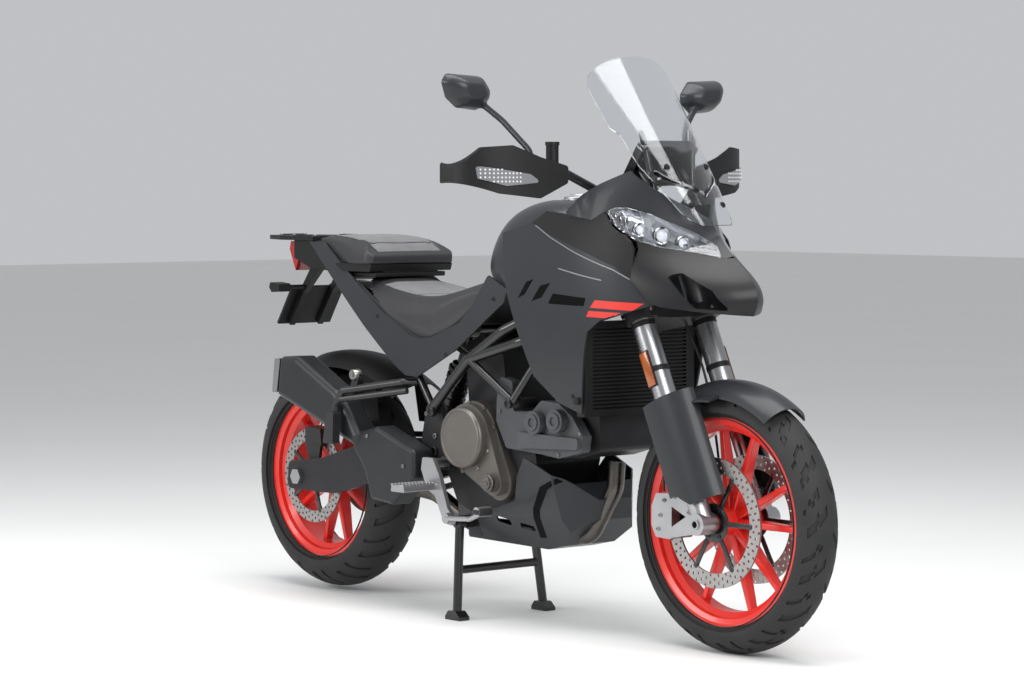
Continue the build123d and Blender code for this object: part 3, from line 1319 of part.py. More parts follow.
HOLDER_HALF = 92.0
with BuildPart() as plate_holder:
    for side in (-1, 1):
        low = side * 50 - 9
        add(plate([(-806, 914.5), (-846, 924), (-905, 848), (-890, 838)], low, low + 18))
        add(plate([(-866, 872), (-902, 860), (-968, 756), (-956, 744)], low, low + 18))
    add(plate([(-897, 854), (-903, 858), (-973, 752), (-967, 748)], -HOLDER_HALF, HOLDER_HALF))
keep("tail_tray", plate_holder.part - tray_part)

with BuildPart() as rear_indicator:
    add(tube([Vector(-884, -59.3, 856), Vector(-884, -126, 856)], 6))
    add(plate([(-864, 844), (-864, 866), (-906, 870), (-912, 856), (-900, 842)], -164, -124, 4))
keep("tail_tray", mirrored(rear_indicator.part) - plate_holder.part)

# Footrests, pedals and stands
REST_OUT = 206.0
rest_outline = [(-170, 428), (-128, 428), (-100, 384), (-66, 300), (-40, 276), (-52, 256), (-82, 262),
                (-118, 330), (-150, 344),
                (-176, 396)]
with BuildPart() as rider_rest:
    add(plate(rest_outline, -REST_OUT, -REST_OUT + 12, 6))
    with BuildSketch(side_plane(-PLATE_OUT - SEAT_GAP)):
        with Locations((-154, 412)):
            Circle(12)
    extrude(amount=REST_OUT - 11 - PLATE_OUT - SEAT_GAP)
    add(plate([(-158, 346), (-100, 346), (-104, 362), (-154, 362)], -322, -REST_OUT + 1, 4))
keep("footrests", mirrored(rider_rest.part))

with BuildPart() as pedal:
    with BuildSketch(side_plane(-REST_OUT - SEAT_GAP)):
        with Locations((-58, 276)):
            Circle(14)
    extrude(amount=14)
    add(tube([Vector(-58, -REST_OUT - 9, 276), Vector(40, -REST_OUT - 12, 282),
              Vector(108, -REST_OUT - 22, 306)], 7, 40))
    with BuildSketch(side_plane(-REST_OUT - 6)):
        with Locations((112, 308)):
            Circle(13)
    extrude(amount=44)
keep("footrests", mirrored(pedal.part))

with BuildPart() as pillion_rest:
    add(tube([Vector(-282, -136, 618), Vector(-300, -168, 618), Vector(-470, -242, 590),
              Vector(-500, -242, 548), Vector(-500, -242, 452)], 10, 16))
    add(tube([Vector(-282, -168, 596), Vector(-478, -242, 566)], 9))
    add(plate([(-478, 446), (-522, 446), (-506, 532), (-474, 532)], -270, -246, 6))
rest_shape = mirrored(pillion_rest.part) - subframe
keep("footrests", rest_shape)

STAND_X = -112.0
STAND_Z = 256.0
STAND_PIN_R = 8.0
LUG_OUT = 108.0
LEG_IN = LUG_OUT + MOVE_GAP
PROP_X = -18.0
PROP_Y = 186.0
PROP_Z = 236.0
PROP_HINGE = Vector(PROP_X, PROP_Y, PROP_Z)
PROP_FOLDED = Vector(-1, 0, 0.03).normalized()
PROP_DOWN = Vector(0.12, 0.28, -0.95).normalized()
PROP_AXIS = PROP_FOLDED.cross(PROP_DOWN).normalized()
PROP_LENGTH = 222.0
with BuildPart() as stand_bracket:
    for side in (-1, 1):
        add(plate([(-140, 262), (-130, 240), (-96, 240), (-84, 262), (-70, 300), (-140, 310)],
                  min(side * 92, side * LUG_OUT),
                  max(side * 92, side * LUG_OUT), 5))
    with BuildSketch(side_plane(LEG_IN + 34)):
        with Locations((STAND_X, STAND_Z)):
            Circle(STAND_PIN_R)
    extrude(amount=34 + MOVE_GAP + 6)
    with BuildSketch(side_plane(-LUG_OUT + 6)):
        with Locations((STAND_X, STAND_Z)):
            Circle(STAND_PIN_R)
    extrude(amount=34 + MOVE_GAP + 6)
    add(tube([Vector(-82, 100, 276), Vector(-66, 138, 256), PROP_HINGE + PROP_AXIS * 24], 10, 18))
    with BuildSketch(Plane(origin=PROP_HINGE + PROP_AXIS * 17, z_dir=PROP_AXIS)):
        Circle(13)
    extrude(amount=12)
    with BuildSketch(Plane(origin=PROP_HINGE - PROP_AXIS * 12, z_dir=PROP_AXIS)):
        Circle(6)
    extrude(amount=32)
bracket_part = stand_bracket.part - engine_block.part
keep("stand_bracket", bracket_part)

with BuildPart() as centre_stand:
    for side in (-1, 1):
        with BuildSketch(side_plane(max(side * LEG_IN, side * (LEG_IN + 24)))):
            with Locations((STAND_X, STAND_Z)):
                Circle(17)
        extrude(amount=24)
        add(tube([Vector(STAND_X, side * (LEG_IN + 12), STAND_Z), Vector(STAND_X + 18, side * 150, 14)],
                 12))
        add(plate([(STAND_X - 12, 0), (STAND_X + 48, 0), (STAND_X + 48, 9), (STAND_X + 30, 24),
                   (STAND_X, 24), (STAND_X - 12, 9)],
                  side * 150 - 17, side * 150 + 17))
    add(tube([Vector(STAND_X + 9, -138, 130), Vector(STAND_X + 9, 138, 130)], 11))
    with BuildSketch(side_plane(LEG_IN + 40)):
        with Locations((STAND_X, STAND_Z)):
            Circle(STAND_PIN_R + RUN)
    extrude(amount=2 * LEG_IN + 80, mode=Mode.SUBTRACT)
keep("centre_stand", centre_stand.part)

with BuildPart() as side_stand:
    add(tube([PROP_HINGE, PROP_HINGE + PROP_FOLDED * PROP_LENGTH], 10))
    with BuildSketch(Plane(origin=PROP_HINGE - PROP_AXIS * 11, z_dir=PROP_AXIS)):
        Circle(15)
    extrude(amount=22)
    with BuildSketch(Plane(origin=PROP_HINGE + PROP_FOLDED * PROP_LENGTH, x_dir=PROP_AXIS,
                           z_dir=PROP_FOLDED)):
        RectangleRounded(58, 46, 12)
    extrude(amount=8)
    with BuildSketch(Plane(origin=PROP_HINGE - PROP_AXIS * 20, z_dir=PROP_AXIS)):
        Circle(6 + RUN)
    extrude(amount=40, mode=Mode.SUBTRACT)
keep("side_stand", side_stand.part)


os.makedirs("parts", exist_ok=True)
for node, solids in pieces.items():
    piece = Compound(solids)
    piece.label = node
    export_step(piece, f"parts/{node}.step")
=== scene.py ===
import json
import math

import bmesh
import bpy
from mathutils import Matrix, Vector
from mathutils.bvhtree import BVHTree


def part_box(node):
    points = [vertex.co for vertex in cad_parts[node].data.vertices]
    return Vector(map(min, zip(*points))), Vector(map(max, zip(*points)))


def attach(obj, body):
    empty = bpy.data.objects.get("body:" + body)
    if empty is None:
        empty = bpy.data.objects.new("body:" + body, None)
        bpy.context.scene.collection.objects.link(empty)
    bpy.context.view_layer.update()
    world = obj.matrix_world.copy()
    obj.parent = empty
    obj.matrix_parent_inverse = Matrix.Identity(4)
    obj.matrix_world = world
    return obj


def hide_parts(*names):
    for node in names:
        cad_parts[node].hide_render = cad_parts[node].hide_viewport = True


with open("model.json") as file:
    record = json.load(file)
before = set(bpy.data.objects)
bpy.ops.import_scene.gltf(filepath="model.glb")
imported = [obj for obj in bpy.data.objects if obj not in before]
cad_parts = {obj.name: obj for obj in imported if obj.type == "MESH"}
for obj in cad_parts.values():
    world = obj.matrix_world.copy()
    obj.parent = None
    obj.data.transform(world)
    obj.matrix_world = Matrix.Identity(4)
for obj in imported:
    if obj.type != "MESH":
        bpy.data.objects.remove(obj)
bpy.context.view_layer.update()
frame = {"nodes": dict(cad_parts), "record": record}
nodes = frame["nodes"]
scene = bpy.context.scene
mm = 0.001
print("frame loaded:", len(nodes), "nodes")

# Finishes: colours and grain are read on Object coordinates


def newFinish(name):
    mat = bpy.data.materials.new(name)
    mat.use_nodes = True
    shader = mat.node_tree.nodes["Principled BSDF"]
    return mat, mat.node_tree, shader


def objectCoords(tree, stretch=(1, 1, 1), turn=(0, 0, 0)):
    coord = tree.nodes.new("ShaderNodeTexCoord")
    mapping = tree.nodes.new("ShaderNodeMapping")
    mapping.inputs["Scale"].default_value = stretch
    mapping.inputs["Rotation"].default_value = turn
    tree.links.new(coord.outputs["Object"], mapping.inputs["Vector"])
    return mapping.outputs["Vector"]


def noiseTexture(tree, vector, scale, detail=4.0):
    noise = tree.nodes.new("ShaderNodeTexNoise")
    noise.inputs["Scale"].default_value = scale
    noise.inputs["Detail"].default_value = detail
    tree.links.new(vector, noise.inputs["Vector"])
    return noise.outputs["Fac"]


def spread(tree, value, low, high):
    ramp = tree.nodes.new("ShaderNodeMapRange")
    ramp.inputs["From Min"].default_value = 0.3
    ramp.inputs["From Max"].default_value = 0.7
    ramp.inputs["To Min"].default_value = low
    ramp.inputs["To Max"].default_value = high
    tree.links.new(value, ramp.inputs["Value"])
    return ramp.outputs["Result"]


def mixColours(tree, value, first, second):
    mix = tree.nodes.new("ShaderNodeMix")
    mix.data_type = "RGBA"
    mix.inputs[6].default_value = (*first, 1)
    mix.inputs[7].default_value = (*second, 1)
    tree.links.new(value, mix.inputs[0])
    return mix.outputs[2]


def pressIn(tree, shader, height, strength, depth):
    bump = tree.nodes.new("ShaderNodeBump")
    bump.inputs["Strength"].default_value = strength
    bump.inputs["Distance"].default_value = depth
    tree.links.new(height, bump.inputs["Height"])
    tree.links.new(bump.outputs["Normal"], shader.inputs["Normal"])


def surfaceFinish(name, colour, rough, metal=0.0, coat=0.0, mottle=0.12, grain=(900.0, 0.05),
                  stretch=(1, 1, 1), cloudScale=14.0):
    mat, tree, shader = newFinish(name)
    cloud = noiseTexture(tree, objectCoords(tree), cloudScale)
    darker = tuple(c * (1 - mottle) for c in colour)
    lighter = tuple(min(1, c * (1 + mottle)) for c in colour)
    tree.links.new(mixColours(tree, spread(tree, cloud, 0, 1), darker, lighter),
                   shader.inputs["Base Color"])
    fine = noiseTexture(tree, objectCoords(tree, stretch), grain[0], 2.0)
    tree.links.new(spread(tree, fine, max(0.02, rough - 0.07), min(1, rough + 0.07)),
                   shader.inputs["Roughness"])
    pressIn(tree, shader, fine, grain[1], 0.0004)
    shader.inputs["Metallic"].default_value = metal
    if coat:
        shader.inputs["Coat Weight"].default_value = coat
        shader.inputs["Coat Roughness"].default_value = 0.12
    return mat


def clearFinish(name, colour, rough=0.03, ior=1.45):
    mat, tree, shader = newFinish(name)
    shader.inputs["Base Color"].default_value = (*colour, 1)
    shader.inputs["Transmission Weight"].default_value = 1.0
    shader.inputs["IOR"].default_value = ior
    haze = noiseTexture(tree, objectCoords(tree), 30.0, 2.0)
    tree.links.new(spread(tree, haze, rough, rough + 0.03), shader.inputs["Roughness"])
    return mat


def wovenFinish(name, colour, lighter, weave=420.0, rough=0.7):
    mat, tree, shader = newFinish(name)
    vector = objectCoords(tree)
    cells = tree.nodes.new("ShaderNodeTexVoronoi")
    cells.inputs["Scale"].default_value = weave
    tree.links.new(vector, cells.inputs["Vector"])
    cloud = noiseTexture(tree, vector, 22.0)
    tree.links.new(mixColours(tree, spread(tree, cloud, 0, 1), colour, lighter),
                   shader.inputs["Base Color"])
    tree.links.new(spread(tree, noiseTexture(tree, vector, 60.0), rough - 0.1, rough + 0.1),
                   shader.inputs["Roughness"])
    pressIn(tree, shader, cells.outputs["Distance"], 0.35, 0.0006)
    shader.inputs["Sheen Weight"].default_value = 0.12
    return mat


def glowFinish(name, colour, level):
    mat, tree, shader = newFinish(name)
    cloud = noiseTexture(tree, objectCoords(tree), 200.0)
    tree.links.new(mixColours(tree, spread(tree, cloud, 0, 1), tuple(c * 0.8 for c in colour), colour),
                   shader.inputs["Base Color"])
    shader.inputs["Emission Color"].default_value = (*colour, 1)
    shader.inputs["Emission Strength"].default_value = level
    shader.inputs["Roughness"].default_value = 0.2
    return mat


def splitFinish(name, axis, limit, below, above):
    # two paints on one node, parted by a plane
    mat, tree, shader = newFinish(name)
    vector = objectCoords(tree)
    parts = tree.nodes.new("ShaderNodeSeparateXYZ")
    tree.links.new(vector, parts.inputs[0])
    past = tree.nodes.new("ShaderNodeMath")
    past.operation = "GREATER_THAN"
    past.inputs[1].default_value = limit * mm
    tree.links.new(parts.outputs[axis], past.inputs[0])
    tree.links.new(mixColours(tree, past.outputs[0], below[0], above[0]), shader.inputs["Base Color"])
    metal = tree.nodes.new("ShaderNodeMapRange")
    metal.inputs["To Min"].default_value = below[1]
    metal.inputs["To Max"].default_value = above[1]
    tree.links.new(past.outputs[0], metal.inputs["Value"])
    tree.links.new(metal.outputs["Result"], shader.inputs["Metallic"])
    fine = noiseTexture(tree, vector, 700.0, 2.0)
    tree.links.new(spread(tree, fine, 0.3, 0.46), shader.inputs["Roughness"])
    pressIn(tree, shader, fine, 0.15, 0.0004)
    return mat


finishes = {
    "body_grey": surfaceFinish("satinGreyPaint", (0.019, 0.0205, 0.0235), 0.4, 0.0, 0.12, 0.05,
                               (1400, 0.03)),
    "tank_grey": surfaceFinish("tankGreyPaint", (0.021, 0.0225, 0.026), 0.38, 0.0, 0.15, 0.05,
                               (1400, 0.03)),
    "body_black": surfaceFinish("grainedBlack", (0.007, 0.007, 0.0075), 0.5, 0.0, 0.0, 0.15, (1100, 0.2)),
    "wheel_red": surfaceFinish("orangeRedPaint", (0.7, 0.02, 0.011), 0.34, 0.0, 0.3, 0.05, (1500, 0.03)),
    "tyre_black": surfaceFinish("tyreRubber", (0.012, 0.012, 0.0125), 0.75, 0.0, 0.0, 0.25, (700, 0.2)),
    "disc_steel": surfaceFinish("groundSteel", (0.36, 0.355, 0.35), 0.36, 1.0, 0.0, 0.08, (900, 0.15)),
    "cover_grey": surfaceFinish("warmGreyCast", (0.14, 0.13, 0.12), 0.45, 0.75, 0.0, 0.1, (520, 0.3)),
    "belt_grey": surfaceFinish("midGreyCover", (0.075, 0.078, 0.083), 0.42, 0.3, 0.0, 0.08, (800, 0.15)),
    "engine_dark": surfaceFinish("darkCast", (0.022, 0.022, 0.024), 0.5, 0.5, 0.0, 0.15, (420, 0.4)),
    "alloy": surfaceFinish("satinAlloy", (0.4, 0.4, 0.41), 0.36, 1.0, 0.0, 0.08, (600, 0.2)),
    "frame_black": surfaceFinish("frameBlack", (0.006, 0.006, 0.0065), 0.3, 0.0, 0.2, 0.1, (900, 0.06)),
    "fork_grey": surfaceFinish("forkGrey", (0.33, 0.33, 0.34), 0.32, 0.95, 0.0, 0.04, (900, 0.02)),
    "bright_steel": surfaceFinish("hardChrome", (0.5, 0.5, 0.51), 0.18, 1.0, 0.0, 0.05, (600, 0.03)),
    "header_steel": surfaceFinish("heatedSteel", (0.1, 0.092, 0.085), 0.3, 1.0, 0.0, 0.25, (500, 0.12),
                                  cloudScale=9.0),
    "exhaust_black": surfaceFinish("exhaustBlack", (0.02, 0.021, 0.023), 0.42, 0.4, 0.0, 0.1, (900, 0.15)),
    "chain_steel": surfaceFinish("oiledSteel", (0.15, 0.14, 0.13), 0.4, 1.0, 0.0, 0.25, (700, 0.2)),
    "clear_glass": clearFinish("screenClear", (0.9, 0.92, 0.94)),
    "lamp_glass": clearFinish("lampClear", (0.96, 0.97, 0.99)),
    "lamp_chrome": surfaceFinish("lampReflector", (0.62, 0.63, 0.65), 0.2, 0.95, 0.0, 0.1, (300, 0.05)),
    "lamp_red": surfaceFinish("redLens", (0.32, 0.008, 0.008), 0.15, 0.0, 0.6, 0.1, (500, 0.1)),
    "lamp_clear": surfaceFinish("clearLens", (0.2, 0.2, 0.21), 0.12, 0.3, 0.6, 0.08, (500, 0.1)),
    "seat_cover": surfaceFinish("seatSides", (0.016, 0.016, 0.018), 0.55, 0.0, 0.0, 0.12, (1000, 0.4)),
    "grip_rubber": surfaceFinish("gripRubber", (0.01, 0.01, 0.01), 0.7, 0.0, 0.0, 0.2, (800, 0.3)),
    "mirror_face": surfaceFinish("mirrorGlass", (0.75, 0.76, 0.78), 0.06, 1.0, 0.0, 0.03, (200, 0.0)),
    "screen_black": surfaceFinish("displayBlack", (0.004, 0.004, 0.005), 0.16, 0.0, 0.5, 0.1, (500, 0.05)),
}
extra = {
    "seatTop": wovenFinish("seatTopCloth", (0.1, 0.1, 0.105), (0.125, 0.125, 0.13)),
    "seam": surfaceFinish("seamThread", (0.05, 0.05, 0.053), 0.7, 0.0, 0.0, 0.2, (2000, 0.4)),
    "amber": surfaceFinish("amberLens", (0.3, 0.065, 0.004), 0.16, 0.0, 0.5, 0.2, (260, 0.6)),
    "redStripe": surfaceFinish("redStripe", (0.55, 0.022, 0.014), 0.36, 0.0, 0.2, 0.04, (1400, 0.03)),
    # near-black for the black bars and belly strips, and for the painted shade in the exhaust outlet
    "blackStripe": surfaceFinish("blackStripe", (0.002, 0.002, 0.0022), 0.5, 0.0, 0.0, 0.1, (1400, 0.03)),
    "beakBlack": surfaceFinish("beakBlack", (0.006, 0.006, 0.0068), 0.42, 0.0, 0.05, 0.08, (1400, 0.03)),
    # pale metallic grey for the switch buttons; on the panel creases it is a painted highlight
    "paleGreyAndHighlight": surfaceFinish("paleGreyAndPaintedHighlight", (0.3, 0.305, 0.315), 0.3, 0.6, 0.0, 0.06, (1200, 0.06)),
    "lampWhite": glowFinish("lampGlow", (0.85, 0.88, 0.92), 0.25),
    "guardCell": glowFinish("guardCell", (0.55, 0.56, 0.58), 0.1),
    "display": glowFinish("displayGlow", (0.45, 0.62, 0.75), 0.5),
    "rubberHose": surfaceFinish("hoseRubber", (0.009, 0.009, 0.0095), 0.55, 0.0, 0.0, 0.2, (900, 0.2)),
    "zinc": surfaceFinish("zincBolt", (0.3, 0.295, 0.28), 0.32, 1.0, 0.0, 0.15, (800, 0.1)),
    "restMetal": splitFinish("restMetal", 0, -270, ((0.012, 0.012, 0.013), 0.0), ((0.4, 0.4, 0.41), 1.0)),
    "axleMetal": splitFinish("axleMetal", 2, 366, ((0.4, 0.4, 0.41), 1.0), ((0.014, 0.014, 0.015), 0.2)),
}
calmed = {"body_grey": 0.26, "tank_grey": 0.26, "belt_grey": 0.26, "body_black": 0.26,
          "blackStripe": 0.05, "beakBlack": 0.3}
for name, level in calmed.items():
    paint = finishes[name] if name in finishes else extra[name]
    paint.node_tree.nodes["Principled BSDF"].inputs["Specular IOR Level"].default_value = level
ownFinish = {"beak": "beakBlack", "footrests": "restMetal", "rear_axle": "axleMetal"}
slotOf = {s["node"]: s["material_slot"] for s in frame["record"]["subparts"]}
for name, obj in nodes.items():
    obj.data.materials.clear()
    obj.data.materials.append(extra[ownFinish[name]] if name in ownFinish else finishes[slotOf[name]])
print("finishes:", len(finishes) + len(extra))

# Small helpers for the pieces; lengths come in millimetres


def at(*place):
    return Vector(place) * mm


def settle(bm, name, body, slot, finish=None, sharp=35, replaced=()):
    bmesh.ops.remove_doubles(bm, verts=bm.verts, dist=2e-6)
    bmesh.ops.recalc_face_normals(bm, faces=bm.faces)
    mesh = bpy.data.meshes.new(name)
    bm.to_mesh(mesh)
    bm.free()
    mesh.shade_smooth()
    mesh.set_sharp_from_angle(angle=math.radians(sharp))
    mesh.materials.append(finish or finishes[slot])
    obj = bpy.data.objects.new(name, mesh)
    scene.collection.objects.link(obj)
    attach(obj, body)
    if replaced:
        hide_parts(*replaced)
    return obj


def joinInto(bm, other):
    mesh = bpy.data.meshes.new("part")
    other.to_mesh(mesh)
    other.free()
    bm.from_mesh(mesh)
    bpy.data.meshes.remove(mesh)


def lathe(bm, profile, origin, direction, steps=24):
    axis = Vector(direction).normalized()
    side = axis.orthogonal().normalized()
    verts = [bm.verts.new(origin + axis * along * mm + side * radius * mm) for radius, along in profile]
    edges = [bm.edges.new(pair) for pair in zip(verts, verts[1:])]
    bmesh.ops.spin(bm, geom=verts + edges, cent=origin, axis=axis, angle=2 * math.pi, steps=steps,
                   use_merge=True)


def bolt(bm, place, direction, radius=5.0, height=4.0):
    lathe(bm, [(0, height * 0.45), (radius * 0.5, height * 0.45), (radius * 0.5, height),
               (radius * 0.88, height),
               (radius, height * 0.8), (radius, -1)], place, direction, 10)


def block(bm, middle, size, bevel=0.0, turn=None):
    one = bmesh.new()
    bmesh.ops.create_cube(one, size=1)
    bmesh.ops.scale(one, vec=Vector(size) * mm, verts=one.verts)
    if bevel:
        bmesh.ops.bevel(one, geom=one.edges[:], offset=bevel * mm, affect="EDGES", segments=2,
                        profile=0.5, material=-1)
    if turn:
        bmesh.ops.transform(one, matrix=turn.to_4x4(), verts=one.verts)
    bmesh.ops.translate(one, vec=middle, verts=one.verts)
    joinInto(bm, one)


def hose(bm, points, radius, sides=2, order=3):
    curve = bpy.data.curves.new("route", "CURVE")
    curve.dimensions = "3D"
    curve.bevel_depth = radius * mm
    curve.bevel_resolution = sides
    curve.resolution_u = 5
    curve.use_fill_caps = True
    spline = curve.splines.new("NURBS")
    spline.points.add(len(points) - 1)
    for point, place in zip(spline.points, points):
        point.co = (*(Vector(place) * mm), 1)
    spline.order_u = order
    spline.use_endpoint_u = True
    holder = bpy.data.objects.new("route", curve)
    scene.collection.objects.link(holder)
    mesh = bpy.data.meshes.new_from_object(holder.evaluated_get(bpy.context.evaluated_depsgraph_get()))
    bm.from_mesh(mesh)
    bpy.data.meshes.remove(mesh)
    bpy.data.objects.remove(holder)
    bpy.data.curves.remove(curve)


def bothSides(bm):
    made = bmesh.ops.duplicate(bm, geom=bm.verts[:] + bm.edges[:] + bm.faces[:])
    verts = [g for g in made["geom"] if isinstance(g, bmesh.types.BMVert)]
    bmesh.ops.scale(bm, vec=(1, -1, 1), verts=verts)
    bmesh.ops.reverse_faces(bm, faces=[g for g in made["geom"] if isinstance(g, bmesh.types.BMFace)])


def surfaceOf(*names):
    bm = bmesh.new()
    for name in names:
        bm.from_mesh(nodes[name].data)
    tree = BVHTree.FromBMesh(bm)
    bm.free()
    return tree


def touch(tree, place, direction):
    hit = tree.ray_cast(Vector(place) * mm - Vector(direction) * 0.5, Vector(direction))
    return hit[0]


def patch(bm, corners, tree, direction, lift, cuts=(24, 8), thick=0.5):
    # a thin skin over the four corners, laid on the surface it is seen against
    way = Vector(direction)
    one = bmesh.new()
    bmesh.ops.create_grid(one, x_segments=cuts[0], y_segments=cuts[1], size=0.5)
    spots = [Vector(c) * mm for c in corners]
    lost = []
    for vert in one.verts:
        across, up = vert.co.x + 0.5, vert.co.y + 0.5
        spot = spots[0].lerp(spots[1], across).lerp(spots[3].lerp(spots[2], across), up)
        hit = tree.ray_cast(spot - way * 0.4, way)
        if hit[0] is None:
            lost.append(vert)
        else:
            vert.co = hit[0] - way * lift * mm
    bmesh.ops.delete(one, geom=lost, context="VERTS")
    if one.faces:
        bmesh.ops.recalc_face_normals(one, faces=one.faces)
        bmesh.ops.solidify(one, geom=one.faces[:], thickness=thick * mm)
    joinInto(bm, one)


# Axles, as the wheels' joints have them
frontAxle = (793.5, 0, 325)
rearAxle = (-800.5, 0, 328)

# Tyres: the section of the plain tyre, with the tread cut inwards
frontTyre = {"axle": frontAxle, "radius": 325, "width": 120, "seat": 241.3, "rim": 76, "steps": 160,
             "slant": 0.004, "depth": 4.5}
rearTyre = {"axle": rearAxle, "radius": 318, "width": 170, "seat": 215.9, "rim": 114, "steps": 150,
            "slant": 0.0032, "depth": 5.0}


def treadTyre(name, node, body, size):
    half, outer = size["width"] / 2, size["radius"]
    shoulder = outer - 0.82 * half
    middle = (half * half + (outer - shoulder) ** 2) / (2 * (outer - shoulder))  # radius of the crown's arc
    halfAngle = math.asin(min(1, half / middle))
    wide = halfAngle if outer - middle <= shoulder else math.pi - halfAngle
    rows = 22
    section = []
    for row in range(rows + 1):
        lean = wide * (2 * row / rows - 1)
        section.append((middle * math.sin(lean), outer - middle + middle * math.cos(lean)))
    bead = size["rim"] / 2
    foot = size["seat"] + 16.5
    right = [(half - 1.2, shoulder - 8), (half - 4, (shoulder + foot) / 2 + 6), (bead + 12, foot + 8),
             (bead + 8, foot),
             (bead - 1, foot), (bead - 1, size["seat"] + 1), (bead - 9, size["seat"] + 1),
             (half - 16, shoulder - 6)]
    left = [(-across, high) for across, high in reversed(right)]
    ring = section + right + left
    axle = at(*size["axle"])
    bm = bmesh.new()
    verts = [bm.verts.new(axle + at(0, across, high)) for across, high in ring]
    edges = [bm.edges.new((verts[i], verts[(i + 1) % len(verts)])) for i in range(len(verts))]
    bmesh.ops.spin(bm, geom=verts + edges, cent=axle, axis=(0, 1, 0), angle=2 * math.pi,
                   steps=size["steps"], use_merge=True)
    bmesh.ops.remove_doubles(bm, verts=bm.verts, dist=1e-6)
    bmesh.ops.recalc_face_normals(bm, faces=bm.faces)
    pitch = 2 * math.pi / size["steps"]
    grooves = []
    for face in bm.faces:
        spot = face.calc_center_median() - axle
        reach = math.hypot(spot.x, spot.z)
        if reach * 1000 < shoulder + 4 or face.normal.dot(Vector((spot.x, 0, spot.z)).normalized()) < 0.2:
            continue
        across = spot.y * 1000 / half
        column = int(math.floor(math.atan2(spot.z, spot.x) / pitch + 0.5)) % size["steps"]
        side = 5 if across < 0 else 0
        long = abs(column + side) % 10 in (0, 1) and 0.14 < abs(across) < 0.84
        short = abs(column + side + 5) % 10 == 0 and 0.42 < abs(across) < 0.94
        if long or short:
            grooves.append(face)
    for vert in bm.verts:
        spot = vert.co - axle
        turn = Matrix.Rotation(size["slant"] * abs(spot.y) * 1000, 3, "Y")
        vert.co = axle + turn @ spot
    bmesh.ops.inset_region(bm, faces=grooves, thickness=1.1 * mm, depth=-size["depth"] * mm,
                           use_even_offset=True)
    # raised lines round the sidewall
    for side in (-1, 1):
        for across, high in ((half - 3.4, shoulder - 20), (bead + 15, foot + 15)):
            lathe(bm, [(high - 1.4, side * (across - 3)), (high - 1.0, side * (across + 1.0)),
                       (high + 1.0, side * (across + 1.0)),
                       (high + 1.4, side * (across - 3))], axle, (0, 1, 0), 96)
    return settle(bm, name, body, "tyre_black", sharp=30, replaced=(node,))


treadTyre("frontTread", "front_tyre", "front_wheel", frontTyre)
treadTyre("rearTread", "rear_tyre", "rear_wheel", rearTyre)
print("tyres")

# Brake discs: a drilled band on a dark carrier with its buttons
frontDisc = {"axle": frontAxle, "outer": 160, "inner": 124, "hub": 48, "from": 66, "thick": 5,
             "arms": 6, "columns": 60}
rearDisc = {"axle": rearAxle, "outer": 132.5, "inner": 100.5, "hub": 45, "from": 90, "thick": 5,
            "arms": 5, "columns": 50}


def drilledBand(bm, disc, side):
    axle = at(*disc["axle"])
    one = bmesh.new()
    rows = 4
    step = (disc["outer"] - disc["inner"]) / rows
    verts = [one.verts.new(axle + at(0, 0, disc["inner"] + step * row)) for row in range(rows + 1)]
    edges = [one.edges.new(pair) for pair in zip(verts, verts[1:])]
    bmesh.ops.spin(one, geom=verts + edges, cent=axle, axis=(0, 1, 0), angle=2 * math.pi,
                   steps=disc["columns"] * 2, use_merge=True)
    bmesh.ops.remove_doubles(one, verts=one.verts, dist=1e-6)
    pitch = math.pi / disc["columns"]
    holes = []
    for face in one.faces:
        spot = face.calc_center_median() - axle
        row = int((math.hypot(spot.x, spot.z) * 1000 - disc["inner"]) / step)
        column = int(math.floor(math.atan2(spot.z, spot.x) / pitch)) % (disc["columns"] * 2)
        if (column + 2 * row) % 4 == 0:
            holes.append(face)
    bmesh.ops.inset_individual(one, faces=holes, thickness=0.7 * mm, use_even_offset=True)
    corners = {vert for face in holes for vert in face.verts}
    bmesh.ops.bevel(one, geom=list(corners), offset=1.9 * mm, affect="VERTICES", segments=1,
                    profile=0.5, material=-1)
    inner = [f for f in one.faces if len(f.verts) == 8 and f.calc_area() < 80e-6]
    bmesh.ops.delete(one, geom=inner, context="FACES")
    bmesh.ops.recalc_face_normals(one, faces=one.faces)
    bmesh.ops.solidify(one, geom=one.faces[:], thickness=disc["thick"] * mm)
    low = min(v.co.y for v in one.verts)
    near = disc["from"] * mm if side > 0 else -(disc["from"] + disc["thick"]) * mm
    bmesh.ops.translate(one, vec=(0, near - low, 0), verts=one.verts)
    joinInto(bm, one)


def discCarrier(bm, disc, side):
    axle = at(*disc["axle"])
    base = disc["from"]
    lathe(bm, [(22.5, side * base), (disc["hub"] - 2, side * base), (disc["hub"], side * (base + 1)),
               (disc["hub"], side * (base + 4)),
               (disc["hub"] - 2, side * (base + 5)), (34, side * (base + 5)), (22.5, side * (base + 4)),
               (22.5, side * base)], axle, (0, 1, 0), 48)
    for arm in range(disc["arms"]):
        turn = Matrix.Rotation(-arm * 2 * math.pi / disc["arms"], 3, "Y")
        reach = (disc["hub"] + disc["inner"]) / 2
        block(bm, axle + turn @ at(reach, side * (base + 2.5), 0),
              (disc["inner"] - disc["hub"] + 14, 4.6, 13), 1.2, turn)
        lathe(bm, [(0, 6.4), (6, 6.4), (7.5, 5.4), (7.5, 0)],
              axle + turn @ at(disc["inner"] + 1, side * base, 0), (0, side, 0), 14)
        bolt(bm, axle + turn @ at(disc["hub"] - 10, side * (base + 5), 0), (0, side, 0), 5.5, 3.5)


